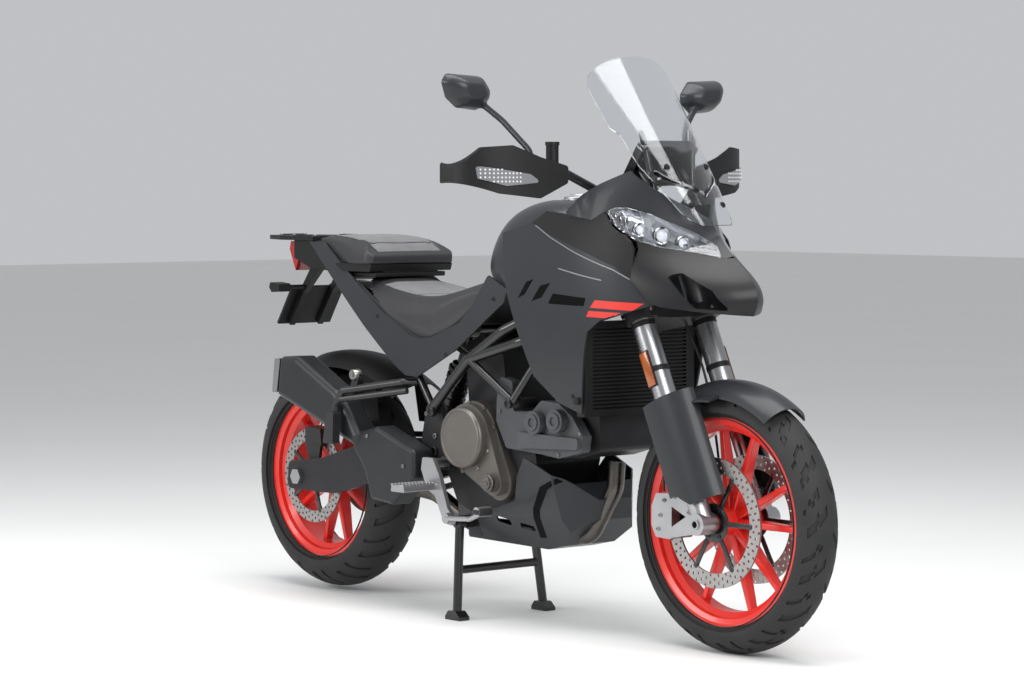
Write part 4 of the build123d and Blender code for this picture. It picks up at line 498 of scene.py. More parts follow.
bm = bmesh.new()
for side in (-1, 1):
    drilledBand(bm, frontDisc, side)
settle(bm, "frontDiscBands", "front_wheel", "disc_steel", sharp=30, replaced=("front_discs",))
bm = bmesh.new()
for side in (-1, 1):
    discCarrier(bm, frontDisc, side)
settle(bm, "frontDiscCarriers", "front_wheel", "disc_steel", finishes["frame_black"])
bm = bmesh.new()
drilledBand(bm, rearDisc, -1)
settle(bm, "rearDiscBand", "rear_wheel", "disc_steel", sharp=30, replaced=("rear_disc",))
bm = bmesh.new()
discCarrier(bm, rearDisc, -1)
settle(bm, "rearDiscCarrier", "rear_wheel", "disc_steel", finishes["frame_black"])
print("discs")

# Valve stems on the rims
valveSet = {"profile": [(0, 34), (3, 34), (3.6, 30), (3.6, 12), (5.5, 10), (5.5, -4)], "steps": 12}
valves = (("frontValve", "front_wheel", frontAxle, -226), ("rearValve", "rear_wheel", rearAxle, 200))
for name, body, axle, along in valves:
    bm = bmesh.new()
    inward = (-math.copysign(1, along), 0, 0)
    lathe(bm, valveSet["profile"], at(*axle) + at(along, 0, 0), inward, valveSet["steps"])
    settle(bm, name, body, "wheel_red", extra["rubberHose"])

# Chain: side plates and rollers along the loop over both sprockets
chainSet = {"front": (-140, 430), "frontR": 38, "rear": (-800.5, 328), "rearR": 109, "pitch": 15.875,
            "inner": 91.5, "outer": 108.5}


def chainPlaces(size):
    start, end = Vector(size["front"]), Vector(size["rear"])
    span = end - start
    base = math.atan2(span.y, span.x)
    lean = math.acos((size["frontR"] - size["rearR"]) / span.length)
    places = []
    runs = []
    for sign in (1, -1):
        way = base + sign * lean
        normal = Vector((math.cos(way), math.sin(way)))
        runs.append((start + normal * size["frontR"], end + normal * size["rearR"], normal))
    for first, last, normal in runs:
        count = int((last - first).length / size["pitch"])
        for link in range(count):
            spot = first.lerp(last, (link + 0.5) / count)
            places.append((spot, math.atan2((last - first).y, (last - first).x)))
    for centre, radius, low, high in ((start, size["frontR"], base + lean, base - lean + 2 * math.pi),
                                      (end, size["rearR"], base - lean, base + lean)):
        count = max(3, int(radius * abs(high - low) / size["pitch"]))
        for link in range(count):
            way = low + (high - low) * (link + 0.5) / count
            places.append((centre + Vector((math.cos(way), math.sin(way))) * radius, way + math.pi / 2))
    return places


bm = bmesh.new()
for spot, way in chainPlaces(chainSet):
    turn = Matrix.Rotation(-way, 3, "Y")
    for face in (chainSet["outer"] + 0.9, chainSet["inner"] - 0.9):
        block(bm, at(spot.x, face, spot.y), (17.5, 1.6, 11), 0, turn)
    lathe(bm, [(0, 11.6), (2.6, 11.6), (2.6, 8.5)], at(spot.x, 100, spot.y) + turn @ at(7.9, 0, 0),
          (0, 1, 0), 8)
settle(bm, "chainLinks", "chassis", "chain_steel")
print("chain")

# Seats: swollen by cloth pressure from the plain solids, then channelled and sewn
seatSet = {"voxel": 0.006, "shrink": 1.4, "cap": 7.0, "pressure": 4.0, "frames": 20}


def swellSeat(name, node):
    bm = bmesh.new()
    bm.from_mesh(nodes[node].data)
    bmesh.ops.remove_doubles(bm, verts=bm.verts, dist=2e-5)
    mesh = bpy.data.meshes.new(name)
    bm.to_mesh(mesh)
    bm.free()
    obj = bpy.data.objects.new(name, mesh)
    scene.collection.objects.link(obj)
    remesh = obj.modifiers.new("remesh", "REMESH")
    remesh.mode = "VOXEL"
    remesh.voxel_size = seatSet["voxel"]
    grid = bpy.data.meshes.new_from_object(obj.evaluated_get(bpy.context.evaluated_depsgraph_get()))
    obj.modifiers.clear()
    obj.data = grid
    held = []
    rest = []
    for vert in grid.vertices:
        rest.append(vert.co.copy())
        if vert.normal.z < -0.35:
            held.append(vert.index)
        else:
            vert.co -= vert.normal * seatSet["shrink"] * mm
    group = obj.vertex_groups.new(name="base")
    group.add(held, 1.0, "REPLACE")
    swell = obj.modifiers.new("swell", "CLOTH")
    swell.settings.vertex_group_mass = "base"
    swell.settings.use_pressure = True
    swell.settings.uniform_pressure_force = seatSet["pressure"]
    swell.settings.effector_weights.gravity = 0
    swell.settings.quality = 4
    swell.point_cache.frame_start = 1
    swell.point_cache.frame_end = seatSet["frames"]
    for step in range(1, seatSet["frames"] + 1):
        scene.frame_set(step)
    swollen = bpy.data.meshes.new_from_object(obj.evaluated_get(bpy.context.evaluated_depsgraph_get()))
    scene.frame_set(1)
    obj.modifiers.clear()
    obj.data = swollen
    for vert, place in zip(swollen.vertices, rest):
        move = vert.co - place
        limit = seatSet["cap"] * mm * 0.4
        if move.length > limit:
            vert.co = place + move.normalized() * limit
    bm = bmesh.new()
    bm.from_mesh(obj.data)
    for turn in range(2):
        bmesh.ops.smooth_vert(bm, verts=bm.verts, factor=0.5, use_axis_x=True, use_axis_y=True,
                              use_axis_z=True)
    bmesh.ops.subdivide_edges(bm, edges=bm.edges[:], cuts=1, use_grid_fill=True, smooth=0.6)
    bm.normal_update()
    obj.vertex_groups.clear()
    return obj, bm


def seamOn(bm, plan, step=6.0):
    # a line in plan, dropped onto the cover from above
    tree = BVHTree.FromBMesh(bm)
    spots = []
    for first, last in zip(plan, plan[1:]):
        count = max(2, int(math.hypot(last[0] - first[0], last[1] - first[1]) / step))
        for tick in range(count):
            share = tick / count
            hit = tree.ray_cast(at(first[0] + (last[0] - first[0]) * share,
                                   first[1] + (last[1] - first[1]) * share, 1300), Vector((0, 0, -1)))
            if hit[0] is not None:
                spots.append(hit[0])
    return spots


def pressSeams(bm, lines, width=5.0, depth=2.6):
    for spots in lines:
        for vert in bm.verts:
            if vert.normal.z < 0.05:
                continue
            beside = [(vert.co - spot).length for spot in spots if abs(spot.x - vert.co.x) < 0.02]
            near = min(beside, default=1)
            if near < width * mm:
                vert.co -= vert.normal * depth * mm * (1 - (near / (width * mm)) ** 2)


def finishSeat(obj, bm, lines, lighter):
    pressSeams(bm, lines)
    bm.normal_update()
    for face in bm.faces:
        face.smooth = True
        spot = face.calc_center_median()
        onTop = face.normal.z > 0.25 and lighter(spot.x * 1000, abs(spot.y) * 1000)
        face.material_index = 1 if onTop else 0
    obj.data.materials.clear()
    obj.data.materials.append(finishes["seat_cover"])
    obj.data.materials.append(extra["seatTop"])
    bm.to_mesh(obj.data)
    bm.free()
    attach(obj, "chassis")


def sewSeams(name, lines):
    bm = bmesh.new()
    for spots in lines:
        hose(bm, [tuple(spot * 1000 - Vector((0, 0, 0.9))) for spot in spots], 1.1, 1)
    settle(bm, name, "chassis", "seat_cover", extra["seam"])


riderPad = {"edge": [(-66, 84), (-141, 112), (-260, 118), (-403, 116), (-452, 108)], "cross": -300}
riderSeat, riderMesh = swellSeat("riderSeatCover", "rider_seat")
riderRight = [(x, -y) for x, y in riderPad["edge"]]
riderFront = [(-66, -84), (-52, 0), (-66, 84)]
riderCross = [(riderPad["cross"], -116), (riderPad["cross"] + 18, 0), (riderPad["cross"], 116)]
riderLines = [seamOn(riderMesh, line) for line in (riderPad["edge"], riderRight, riderFront, riderCross)]
riderLines = [line for line in riderLines if len(line) > 3]


def edgeAt(x, edge):
    for (x1, y1), (x2, y2) in zip(edge, edge[1:]):
        if x2 <= x <= x1:
            return y1 + (y2 - y1) * (x - x1) / (x2 - x1)
    return 0


finishSeat(riderSeat, riderMesh, riderLines, lambda x, y: y < edgeAt(x, riderPad["edge"]))
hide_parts("rider_seat")
sewSeams("riderSeams", riderLines)

# A dark gasket closes the joint between the rider's seat and the tail panels
gasketSet = {"line": ((-18, 834), (-72, 784), (-182, 742), (-232, 736), (-274, 745), (-417, 811),
                      (-535, 880)),
             "radius": 5.0, "set": 8.5, "probe": 9.0}
seatPanelTree = surfaceOf("tail_panels")
bm = bmesh.new()
spots = [touch(seatPanelTree, (x, 0, z - gasketSet["probe"]), (0, 1, 0)) for x, z in gasketSet["line"]]
shift = Vector((0, gasketSet["set"], gasketSet["probe"]))
route = [spot * 1000 + shift for spot in spots if spot is not None]
hose(bm, [tuple(place) for place in route], gasketSet["radius"], 2, 3)
bothSides(bm)
settle(bm, "seatGaskets", "chassis", "body_black")
print("rider seat")

pillionPad = {"edge": [(-480, 112), (-560, 112), (-640, 92), (-750, 72)], "cross": -520}
pillionSeat, pillionMesh = swellSeat("pillionSeatCover", "pillion_seat")
pillionRight = [(x, -y) for x, y in pillionPad["edge"]]
pillionCross = [(pillionPad["cross"], -112), (pillionPad["cross"] + 6, 0), (pillionPad["cross"], 112)]
pillionLines = [seamOn(pillionMesh, line) for line in (pillionPad["edge"], pillionRight, pillionCross)]
pillionLines = [line for line in pillionLines if len(line) > 3]
finishSeat(pillionSeat, pillionMesh, pillionLines, lambda x, y: y < edgeAt(x, pillionPad["edge"]))
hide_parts("pillion_seat")
sewSeams("pillionSeams", pillionLines)
bm = bmesh.new()
block(bm, at(-552, 0, 899), (150, 246, 13), 3)
settle(bm, "pillionBase", "chassis", "body_black")
print("pillion seat")

# Fork: caps, wipers, clips, brake lines and side reflectors
forkSet = {"groundX": 897.653, "up": (-0.4147, 0, 0.91), "forward": (0.91, 0, 0.4147), "ahead": 40,
           "half": 104, "sleeveLow": 608, "sleeveTop": 1128}
steerUp = Vector(forkSet["up"])


def onFork(along, ahead=forkSet["ahead"], side=0.0):
    return at(forkSet["groundX"], side, 0) + steerUp * along * mm + Vector(forkSet["forward"]) * ahead * mm


bm = bmesh.new()
for side in (-forkSet["half"], forkSet["half"]):
    lathe(bm, [(0, 9), (7, 9), (8, 12), (17, 12), (20, 9), (25, 7), (26, 3), (26, -2)],
          onFork(forkSet["sleeveTop"], side=side), steerUp, 28)
settle(bm, "forkCaps", "steering", "alloy")
bm = bmesh.new()
for side in (-forkSet["half"], forkSet["half"]):
    foot = onFork(forkSet["sleeveLow"], side=side)
    lathe(bm, [(24.4, -15), (27, -14), (28.5, -9), (28.5, -6), (30.5, -5), (31.5, 0), (31.5, 20),
               (30, 22), (29.2, 22)], foot, steerUp, 32)
    for along in (740, 860):
        lathe(bm, [(29.1, -7), (30.6, -6.4), (30.6, 6.4), (29.1, 7)], onFork(along, side=side), steerUp, 32)
settle(bm, "forkWipers", "steering", "body_black")
bm = bmesh.new()
lean = Matrix.Rotation(math.radians(-24.5), 3, "Y")
for side in (-1, 1):
    block(bm, onFork(744, side=side * 135.6), (26, 5.2, 88), 2.2, lean)
settle(bm, "sideReflectors", "steering", "lamp_clear", extra["amber"])
bm = bmesh.new()
for side in (-1, 1):
    block(bm, onFork(744, side=side * 132.8), (30, 3, 94), 1.2, lean)
settle(bm, "reflectorBacks", "steering", "body_black")
brakeLine = [(536, 52, 850), (566, 66, 770), (604, 80, 680), (628, 88, 560), (640, 96, 450), (646, 98, 392)]
bm = bmesh.new()
hose(bm, [(x, -y, z) for x, y, z in brakeLine], 3.4)
hose(bm, brakeLine, 3.4)
settle(bm, "brakeLines", "steering", "body_black", extra["rubberHose"])
caliperTree = surfaceOf("front_calipers", "fork_feet")
bm = bmesh.new()
for x, z in ((632, 300), (640, 334), (654, 372), (762, 352), (770, 306), (692, 384)):
    for side in (-1, 1):
        spot = touch(caliperTree, (x, 0, z), (0, -side, 0))
        if spot is not None and abs(spot.y) > 0.06:
            bolt(bm, spot, (0, side, 0), 5.5, 4.5)
lathe(bm, [(0, 7), (15, 7), (18, 4), (18, -1)], at(*frontAxle) + at(0, 136, 0), (0, 1, 0), 6)
settle(bm, "forkBolts", "steering", "alloy", extra["zinc"])
print("fork")

# Bars: ribbed grips, switches and clamp bolts
barSet = {"bend": (371.8, 190, 1178.3), "end": (249.8, 445, 1172.3), "gripFrom": 152, "gripTo": 266,
          "gripR": 16.5}
bm = bmesh.new()
barDir = (Vector(barSet["end"]) - Vector(barSet["bend"])).normalized()
rib = barSet["gripFrom"]
while rib < barSet["gripTo"]:
    radius = barSet["gripR"]
    lathe(bm, [(radius - 0.4, -2.4), (radius + 1.0, -1.6), (radius + 1.0, 1.6), (radius - 0.4, 2.4)],
          (Vector(barSet["bend"]) + barDir * rib) * mm, barDir, 20)
    rib += 7.5
bothSides(bm)
settle(bm, "gripRibs", "steering", "grip_rubber")
switchTree = surfaceOf("switchgear")
bm = bmesh.new()
for across, z, wide in ((262, 1182, 16), (284, 1170, 12), (302, 1182, 14), (250, 1166, 10)):
    for side in (-1, 1):
        spot = touch(switchTree, (0, side * across, z), (1, 0, 0))
        if spot is not None:
            block(bm, spot, (5, wide, 9), 1.2)
settle(bm, "switchButtons", "steering", "body_black", extra["paleGreyAndHighlight"])
clampTree = surfaceOf("yokes")
bm = bmesh.new()
for across in (28, 44):
    for x in (386, 404):
        for side in (-1, 1):
            spot = touch(clampTree, (x, side * across, 1100), (0, 0, -1))
            if spot is not None and spot.z > 1.08:
                bolt(bm, spot, (-0.4147, 0, 0.91), 4.5, 4)
for side in (-1, 1):
    for along in (1100, 888):
        spot = touch(clampTree, tuple(onFork(along, 60, side * 104) * 1000), (-0.91, 0, -0.4147))
        if spot is not None:
            bolt(bm, spot, (0.91, 0, 0.4147), 4.5, 4)
settle(bm, "clampBolts", "steering", "engine_dark", extra["zinc"])
print("bars")

# Dash: a lit display in the dark glass
dashSet = {"origin": (512, 0, 1206), "normal": (-0.82, 0, 0.57), "wide": 150, "high": 84}
dashNormal = Vector(dashSet["normal"]).normalized()
dashRight = Vector((0, -1, 0))
dashUp = dashNormal.cross(dashRight)
dashTurn = Matrix((dashRight, dashUp, dashNormal)).transposed()
dashTree = surfaceOf("dashboard")
dashFace = touch(dashTree, dashSet["origin"], -dashNormal) or at(*dashSet["origin"])


def onDash(right, up, out=0.6):
    return dashFace + (dashRight * right + dashUp * up + dashNormal * out) * mm


bm = bmesh.new()
block(bm, onDash(0, 0, 0.2), (dashSet["wide"], dashSet["high"], 1.2), 0.5, dashTurn)
settle(bm, "dashGlass", "chassis", "screen_black")
bm = bmesh.new()
for tick in range(15):
    way = math.radians(205 - tick * 16)
    turned = dashTurn @ Matrix.Rotation(way, 3, "Z")
    block(bm, onDash(-30 + 27 * math.cos(way), -4 + 27 * math.sin(way), 1.1),
          (9 if tick % 2 == 0 else 6, 2.2, 0.6), 0, turned)
for row, wide in ((22, 42), (10, 30), (-2, 36), (-14, 22), (-26, 42)):
    block(bm, onDash(26 + wide / 2 - 12, row, 1.1), (wide, 3.4, 0.6), 0, dashTurn)
settle(bm, "dashMarks", "chassis", "screen_black", extra["display"])
bm = bmesh.new()
for right in (-62, 62):
    for up in (-48, 48):
        bolt(bm, onDash(right, up, 0), dashNormal, 3.6, 2)
settle(bm, "dashBolts", "chassis", "screen_black", finishes["frame_black"])
print("dash")

# Headlight: an open bowl behind the lens, with round units, a row of cells and fins
lampTree = surfaceOf("headlight_lens")
bowl = bmesh.new()
bowl.from_mesh(nodes["headlight_housing"].data)
bmesh.ops.remove_doubles(bowl, verts=bowl.verts, dist=2e-5)
fronts = []
for face in bowl.faces:
    near = lampTree.find_nearest(face.calc_center_median())
    if near[3] is not None and near[3] < 1.6 * mm:
        fronts.append(face)
bmesh.ops.delete(bowl, geom=fronts, context="FACES")
bmesh.ops.recalc_face_normals(bowl, faces=bowl.faces)
bmesh.ops.solidify(bowl, geom=bowl.faces[:], thickness=1.2 * mm)
settle(bowl, "headlightBowl", "chassis", "lamp_chrome", replaced=("headlight_housing",))
unitSet = {"places": ((70, 1004, 17), (100, 1022, 21), (132, 1036, 17)), "set": 17, "cells": 6, "fins": 4}
rings, glows = bmesh.new(), bmesh.new()
for side in (-1, 1):
    for across, z, radius in unitSet["places"]:
        spot = touch(lampTree, (700, side * across, z), (-1, 0, 0))
        if spot is None:
            continue
        way = Vector((0.92, side * 0.36, 0.14))
        base = spot - way * unitSet["set"] * mm
        lathe(rings, [(radius - 6, 3), (radius - 5, 8), (radius - 1, 10), (radius + 1, 8),
                      (radius + 1, -6)], base, way, 32)
        lathe(glows, [(0, 9), (radius * 0.45, 7.5), (radius * 0.7, 3.5), (radius * 0.7, 0)], base, way, 28)
    for cell in range(unitSet["cells"]):
        spot = touch(lampTree, (700, side * (20 + cell * 9), 984 + cell * 2.4), (-1, 0, 0))
        if spot is not None:
            block(rings, spot - at(13, 0, 0), (12, 6.4, 9), 1.2)
    for fin in range(unitSet["fins"]):
        spot = touch(lampTree, (700, side * (150 + fin * 5), 1050 + fin * 7), (-1, 0, 0))
        if spot is not None:
            block(rings, spot - at(16, side * 4, 0), (26, 3, 30 - fin * 3), 1)
settle(rings, "headlightRings", "chassis", "lamp_chrome", finishes["bright_steel"])
settle(glows, "headlightUnits", "chassis", "lamp_glass", extra["lampWhite"])
print("headlight")

# Lamps in the handguards and at the tail
guardTree = surfaceOf("front_indicators")
dots = bmesh.new()
for across in range(356, 450, 9):
    for z in (1154, 1164, 1174, 1183):
        for side in (-1, 1):
            spot = touch(guardTree, (0, side * across, z), (-1, 0, 0))
            if spot is not None:
                lathe(dots, [(0, 1.0), (2.0, 0.7), (2.8, -0.4)], spot, (0.94, side * 0.3, 0.1), 8)
settle(dots, "guardLights", "steering", "lamp_clear", extra["guardCell"])
tailTree = surfaceOf("tail_light")
bm = bmesh.new()
for across in range(-66, 67, 12):
    for z in (918, 934, 950, 966):
        spot = touch(tailTree, (-900, across, z), (1, 0, 0))
        if spot is not None:
            block(bm, spot, (3, 9, 8), 1)
settle(bm, "tailLightCells", "chassis", "lamp_red")
print("small lamps")

# Engine: bolts, filler, clutch rim and hoses
engineTree = surfaceOf("engine_covers", "engine_block")
beltTree = surfaceOf("belt_cover")
bm = bmesh.new()
for tick in range(9):
    way = math.radians(20 + tick * 40)
    spot = touch(engineTree, (-43 + 91 * math.cos(way), 0, 486 + 91 * math.sin(way)), (0, 1, 0))
    if spot is not None:
        bolt(bm, spot, (0, -1, 0), 5.2, 5)
for tick in range(8):
    way = math.radians(tick * 45)
    spot = touch(engineTree, (20 + 84 * math.cos(way), 0, 430 + 84 * math.sin(way)), (0, -1, 0))
    if spot is not None:
        bolt(bm, spot, (0, 1, 0), 5.2, 5)
for x, z in ((72, 470), (70, 560), (140, 632), (250, 640), (376, 620), (382, 520), (300, 462), (180, 458)):
    spot = touch(beltTree, (x, 0, z), (0, 1, 0))
    if spot is not None:
        bolt(bm, spot, (0, -1, 0), 5, 4.5)
plateTree = surfaceOf("frame_plates")
for x, z in ((-172, 536), (-236, 536), (-168, 420), (-236, 416), (-200, 478)):
    for side in (-1, 1):
        spot = touch(plateTree, (x, 0, z), (0, -side, 0))
        if spot is not None:
            bolt(bm, spot, (0, side, 0), 8 if x == -200 else 6, 6)
settle(bm, "engineBolts", "chassis", "engine_dark", extra["zinc"])
bm = bmesh.new()
filler = touch(engineTree, (62, 0, 374), (0, 1, 0))
lathe(bm, [(0, 9), (14, 9), (16, 7), (16, 2), (22, 2), (23, 0)], filler, (0, -1, 0), 28)
block(bm, filler + at(0, -11, 0), (26, 6, 6), 1.5)
clutchFace = touch(engineTree, (-43, 0, 486), (0, 1, 0))
lathe(bm, [(69, -0.4), (70, 1.6), (74, 2.2), (77, 1.0), (78, -0.6)], clutchFace, (0, -1, 0), 56)
settle(bm, "clutchRim", "chassis", "cover_grey")
bm = bmesh.new()
coolantRoute = ((410, 120, 772), (380, 128, 770), (340, 120, 740), (310, 96, 716))
for side in (1, -1):
    hose(bm, [(x, side * y, z) for x, y, z in coolantRoute], 15)
settle(bm, "coolantHoses", "chassis", "body_black", extra["rubberHose"])
print("engine")

# Exhaust: hanger, bolts and outlet
silencerTree = surfaceOf("silencer", "exhaust_box")
bm = bmesh.new()
lathe(bm, [(0, 12), (7, 12), (7, 9), (13, 9), (15, 6), (15, -14)], at(-436, -226, 634), (0, -1, 0), 24)
settle(bm, "hangerBoss", "chassis", "frame_black", extra["zinc"])
bm = bmesh.new()
block(bm, at(-442, -218, 612), (26, 12, 60), 3, Matrix.Rotation(math.radians(20), 3, "Y"))
settle(bm, "hangerArm", "chassis", "frame_black")
bm = bmesh.new()
for x, z in ((-236, 400), (-392, 470)):
    spot = touch(silencerTree, (x, 0, z), (0, 1, 0))
    if spot is not None:
        bolt(bm, spot, (0, -1, 0), 5.5, 4)
capTree = surfaceOf("silencer_cap")
for across in (-172, -208):
    for z in (582, 648):
        spot = touch(capTree, (-800, across, z), (1, 0, 0))
        if spot is not None:
            bolt(bm, spot, (-0.98, 0, 0.16), 3.6, 2.5)
settle(bm, "exhaustBolts", "chassis", "bright_steel", extra["zinc"])
outlet = touch(capTree, (-800, -190, 615), (1, 0, 0))
bm = bmesh.new()
lathe(bm, [(19, -1), (19, 6), (21, 7.5), (23, 6), (23, -1)], outlet, (-0.99, 0, 0.14), 36)
settle(bm, "outletRing", "chassis", "bright_steel")
# a dark disc over the outlet mouth: soot-black, and painted shade of the hollow pipe behind it
bm = bmesh.new()
lathe(bm, [(0, 0.4), (19, 0.4), (19, -0.6)], outlet, (-0.99, 0, 0.14), 36)
settle(bm, "outletSootAndShade", "chassis", "exhaust_black", extra["blackStripe"])
print("exhaust")

# Side panels: bars, crease lines painted pale as a highlight, belly strips and fixings
fairTree = surfaceOf("side_fairings")
stripes = {
    "panelBlack": ("blackStripe", [((196, 858), (226, 868), (262, 908), (232, 900)),
                                   ((258, 852), (300, 862), (336, 900), (294, 892)),
                                   ((330, 848), (470, 846), (476, 866), (350, 874))]),
    "panelRed": ("redStripe", [((492, 843), (612, 838), (640, 856), (508, 862)),
                               ((480, 820), (560, 818), (590, 832), (488, 835))]),
}
for name, (finish, spots) in stripes.items():
    bm = bmesh.new()
    for corners in spots:
        patch(bm, [(x, 0, z) for x, z in corners], fairTree, (0, 1, 0), 0.5, (14, 4), 0.4)
    bothSides(bm)
    settle(bm, name, "chassis", "body_grey", extra[finish])
ridgeTree = surfaceOf("side_fairings", "side_bands")
# raised creases along the panels, coloured pale grey as the painted highlight where light catches their
# edge
creaseHighlightLines = (((252, 1043), (321, 1014), (432, 976), (556, 938), (612, 910), (655, 870)),
          ((367, 937), (450, 923), (532, 910)))
bm = bmesh.new()
for line in creaseHighlightLines:
    spots = []
    for (x, z), (nextX, nextZ) in zip(line, line[1:]):
        for step in range(12):
            part = step / 12
            spots.append(touch(ridgeTree, (x + (nextX - x) * part, 0, z + (nextZ - z) * part), (0, 1, 0)))
    hose(bm, [tuple(spot * 1000) for spot in spots if spot is not None], 1.6, 1, 2)
bothSides(bm)
settle(bm, "panelCreaseHighlights", "chassis", "body_grey", extra["paleGreyAndHighlight"])
bellyTree = surfaceOf("belly_pan")
bm = bmesh.new()
bellyStrip = (((176, 236), (202, 238), (210, 312), (184, 314)),
              ((184, 314), (210, 312), (250, 368), (222, 374)),
              ((222, 374), (250, 368), (306, 398), (298, 406)))
for corners in bellyStrip:
    patch(bm, [(x, 0, z) for x, z in corners], bellyTree, (0, 1, 0), 0.6, (4, 10), 0.6)
bothSides(bm)
settle(bm, "bellyStrips", "chassis", "body_grey", extra["blackStripe"])
trellisTree = surfaceOf("frame_trellis", "frame_plates", "subframe")
bm = bmesh.new()
for x, z in ((144, 585), (-189, 544), (-50, 707), (-203, 438)):
    spot = touch(trellisTree, (x, 0, z), (0, 1, 0))
    if spot is not None:
        lathe(bm, [(0, 5), (6, 5), (7, 8), (11, 8), (13, 6), (13, -6)], spot, (0, -1, 0), 20)
bothSides(bm)
settle(bm, "trellisBolts", "chassis", "frame_black")
panelTree = surfaceOf("side_fairings", "tail_panels", "side_bands", "tank", "upper_fairing", "beak")
bm = bmesh.new()
for x, z in ((420, 620), (-120, 700), (60, 850), (-420, 790)):
    spot = touch(panelTree, (x, 0, z), (0, 1, 0))
    if spot is not None:
        lathe(bm, [(0, 0.6), (3, 0.6), (3, 1.6), (5.4, 1.4), (6.2, -0.4)], spot, (0, -1, 0), 14)
bothSides(bm)
settle(bm, "panelFixings", "chassis", "body_black")
print("panels")

# Tank lid, rack and tail
bm = bmesh.new()
lathe(bm, [(0, 0.2), (10, 0.2), (10, 2.2), (13, 2.8), (30, 2.2), (31, 0.6), (40, 0.4)],
      at(229, 0, 1118.5), (0, 0, 1), 40)
block(bm, at(229, 0, 1121.2), (26, 14, 2.4), 1)
settle(bm, "lidCap", "fuel_lid", "alloy")
bm = bmesh.new()
for tick in range(6):
    way = math.radians(30 + tick * 60)
    bolt(bm, at(229 + 51 * math.cos(way), 51 * math.sin(way), 1105.6), (0, 0, 1), 3.4, 2.4)
settle(bm, "lidRingBolts", "chassis", "alloy", extra["zinc"])
bm = bmesh.new()
for x, y in ((-808, 78), (-900, 84), (-1018, 40)):
    for side in (-1, 1):
        bolt(bm, at(x, side * y, 1000), (0, 0, 1), 6, 4)
settle(bm, "rackBolts", "chassis", "body_black", extra["zinc"])
bm = bmesh.new()
for y in (-84, 84):
    block(bm, at(-862, y, 1001.4), (70, 16, 3.6), 1.4)
block(bm, at(-1022, 0, 1001.4), (18, 66, 3.6), 1.4)
settle(bm, "rackPads", "chassis", "grip_rubber")
screenTree = surfaceOf("windscreen")
bm = bmesh.new()
for across, z in ((52, 1096), (66, 1190), (104, 1150)):
    for side in (-1, 1):
        spot = touch(screenTree, (600, side * across, z), (-1, 0, 0))
        if spot is not None:
            lathe(bm, [(0, 3.4), (3.4, 3.4), (3.4, 4.6), (6.4, 4.2), (8, 1.6), (8.4, -0.2)], spot,
                  (0.78, 0, 0.62), 18)
settle(bm, "screenScrews", "chassis", "body_black")
print("tank and tail")

# Footrests: toothed tops, and rubber pads on the pedals
bm = bmesh.new()
for across in range(222, 322, 11):
    for x in (-151, -107):
        block(bm, at(x, -across, 364.5), (9, 6, 6), 1)
    block(bm, at(-129, -across, 363), (36, 4, 3), 0.8)
bothSides(bm)
settle(bm, "pegTeeth", "chassis", "alloy")
bm = bmesh.new()
block(bm, at(112, -234, 308), (32, 46, 20), 6)
bothSides(bm)
settle(bm, "pedalPads", "chassis", "grip_rubber")

# Mirrors: the plain shells with their facets rounded off
mirrorSet = {"voxel": 0.0028, "rounds": 14}
bm = bmesh.new()
bm.from_mesh(nodes["mirrors"].data)
bmesh.ops.remove_doubles(bm, verts=bm.verts, dist=2e-5)
mesh = bpy.data.meshes.new("mirrorShells")
bm.to_mesh(mesh)
bm.free()
shells = bpy.data.objects.new("mirrorCast", mesh)
scene.collection.objects.link(shells)
remesh = shells.modifiers.new("remesh", "REMESH")
remesh.mode = "VOXEL"
remesh.voxel_size = mirrorSet["voxel"]
bm = bmesh.new()
rounded = bpy.data.meshes.new_from_object(shells.evaluated_get(bpy.context.evaluated_depsgraph_get()))
bm.from_mesh(rounded)
bpy.data.objects.remove(shells)
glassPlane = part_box("mirrors")[0].x + 0.004
shellVerts = [v for v in bm.verts if v.co.x > glassPlane]
for turn in range(mirrorSet["rounds"]):
    bmesh.ops.smooth_vert(bm, verts=shellVerts, factor=0.5, use_axis_x=True, use_axis_y=True,
                          use_axis_z=True)
settle(bm, "mirrorShells", "steering", "body_black", finishes["tank_grey"], replaced=("mirrors",))
print("rests and mirrors")

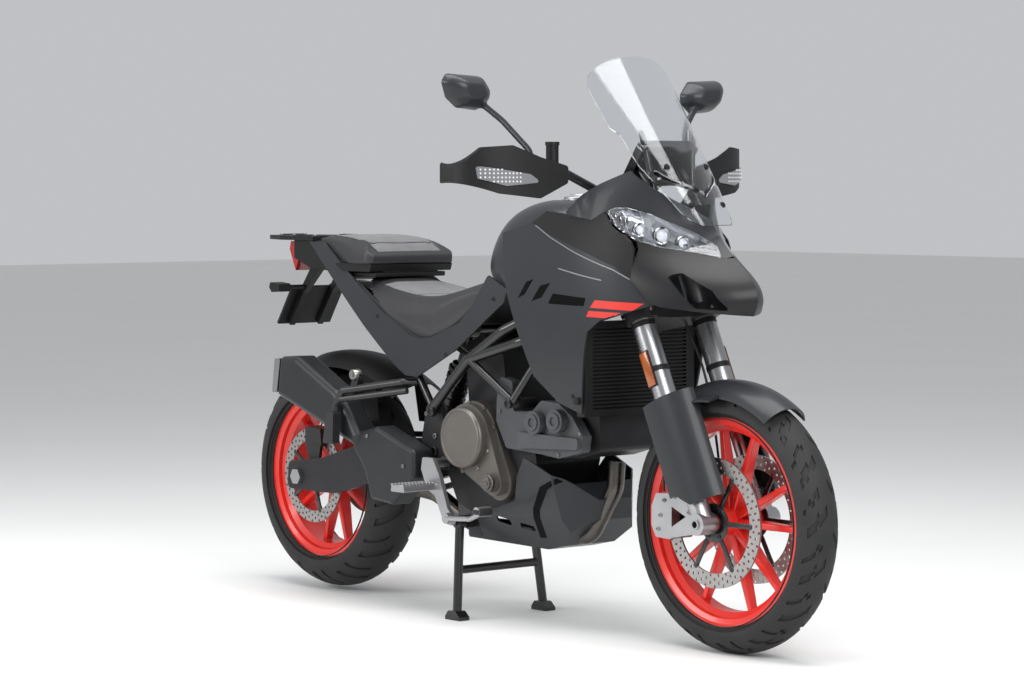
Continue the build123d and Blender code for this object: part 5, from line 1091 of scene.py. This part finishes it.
# Stage, light and camera
stageSet = {"floorColour": (0.78, 0.78, 0.77), "floorSize": 30.0, "worldLevel": 0.55}
mesh = bpy.data.meshes.new("floor")
bm = bmesh.new()
bmesh.ops.create_grid(bm, x_segments=1, y_segments=1, size=stageSet["floorSize"])
bm.to_mesh(mesh)
bm.free()
floor = bpy.data.objects.new("floor", mesh)
scene.collection.objects.link(floor)
mesh.materials.append(surfaceFinish("paleFloor", stageSet["floorColour"], 0.6, 0.0, 0.0, 0.01,
                                    (60, 0.02), cloudScale=1.0))

world = bpy.data.worlds.new("studio")
scene.world = world
world.use_nodes = True
world.node_tree.nodes["Background"].inputs["Color"].default_value = (0.95, 0.97, 1.0, 1)
world.node_tree.nodes["Background"].inputs["Strength"].default_value = stageSet["worldLevel"]


def softLamp(name, place, target, size, power):
    light = bpy.data.lights.new(name, "AREA")
    light.shape = "RECTANGLE"
    light.size, light.size_y = size
    light.energy = power
    lamp = bpy.data.objects.new(name, light)
    lamp.location = place
    lamp.rotation_euler = (Vector(target) - Vector(place)).to_track_quat("-Z", "Y").to_euler()
    scene.collection.objects.link(lamp)


softLamp("topLight", (0.4, -0.4, 4.2), (0, 0, 0.6), (4.0, 2.4), 190)
softLamp("frontLight", (4.2, -1.2, 2.6), (0.2, 0, 0.7), (2.2, 2.2), 120)
softLamp("sideLight", (-1.6, -4.2, 2.4), (-0.2, 0, 0.6), (3.0, 1.6), 120)

photoCamera = {"azimuth": 49.645, "elevation": 2.981, "focal": 110.283, "eye": (6.263, -5.3622, 1.1622)}
camData = bpy.data.cameras.new("photoCamera")
camData.lens = photoCamera["focal"]
camData.sensor_width = 36.0
camera = bpy.data.objects.new("photoCamera", camData)
camera.location = photoCamera["eye"]
az, el = math.radians(photoCamera["azimuth"]), math.radians(photoCamera["elevation"])
back = Vector((math.sin(az) * math.cos(el), -math.cos(az) * math.cos(el), math.sin(el)))
camera.rotation_euler = (-back).to_track_quat("-Z", "Y").to_euler()
scene.collection.objects.link(camera)
scene.camera = camera
scene.view_settings.view_transform = "Standard"
print("stage set")
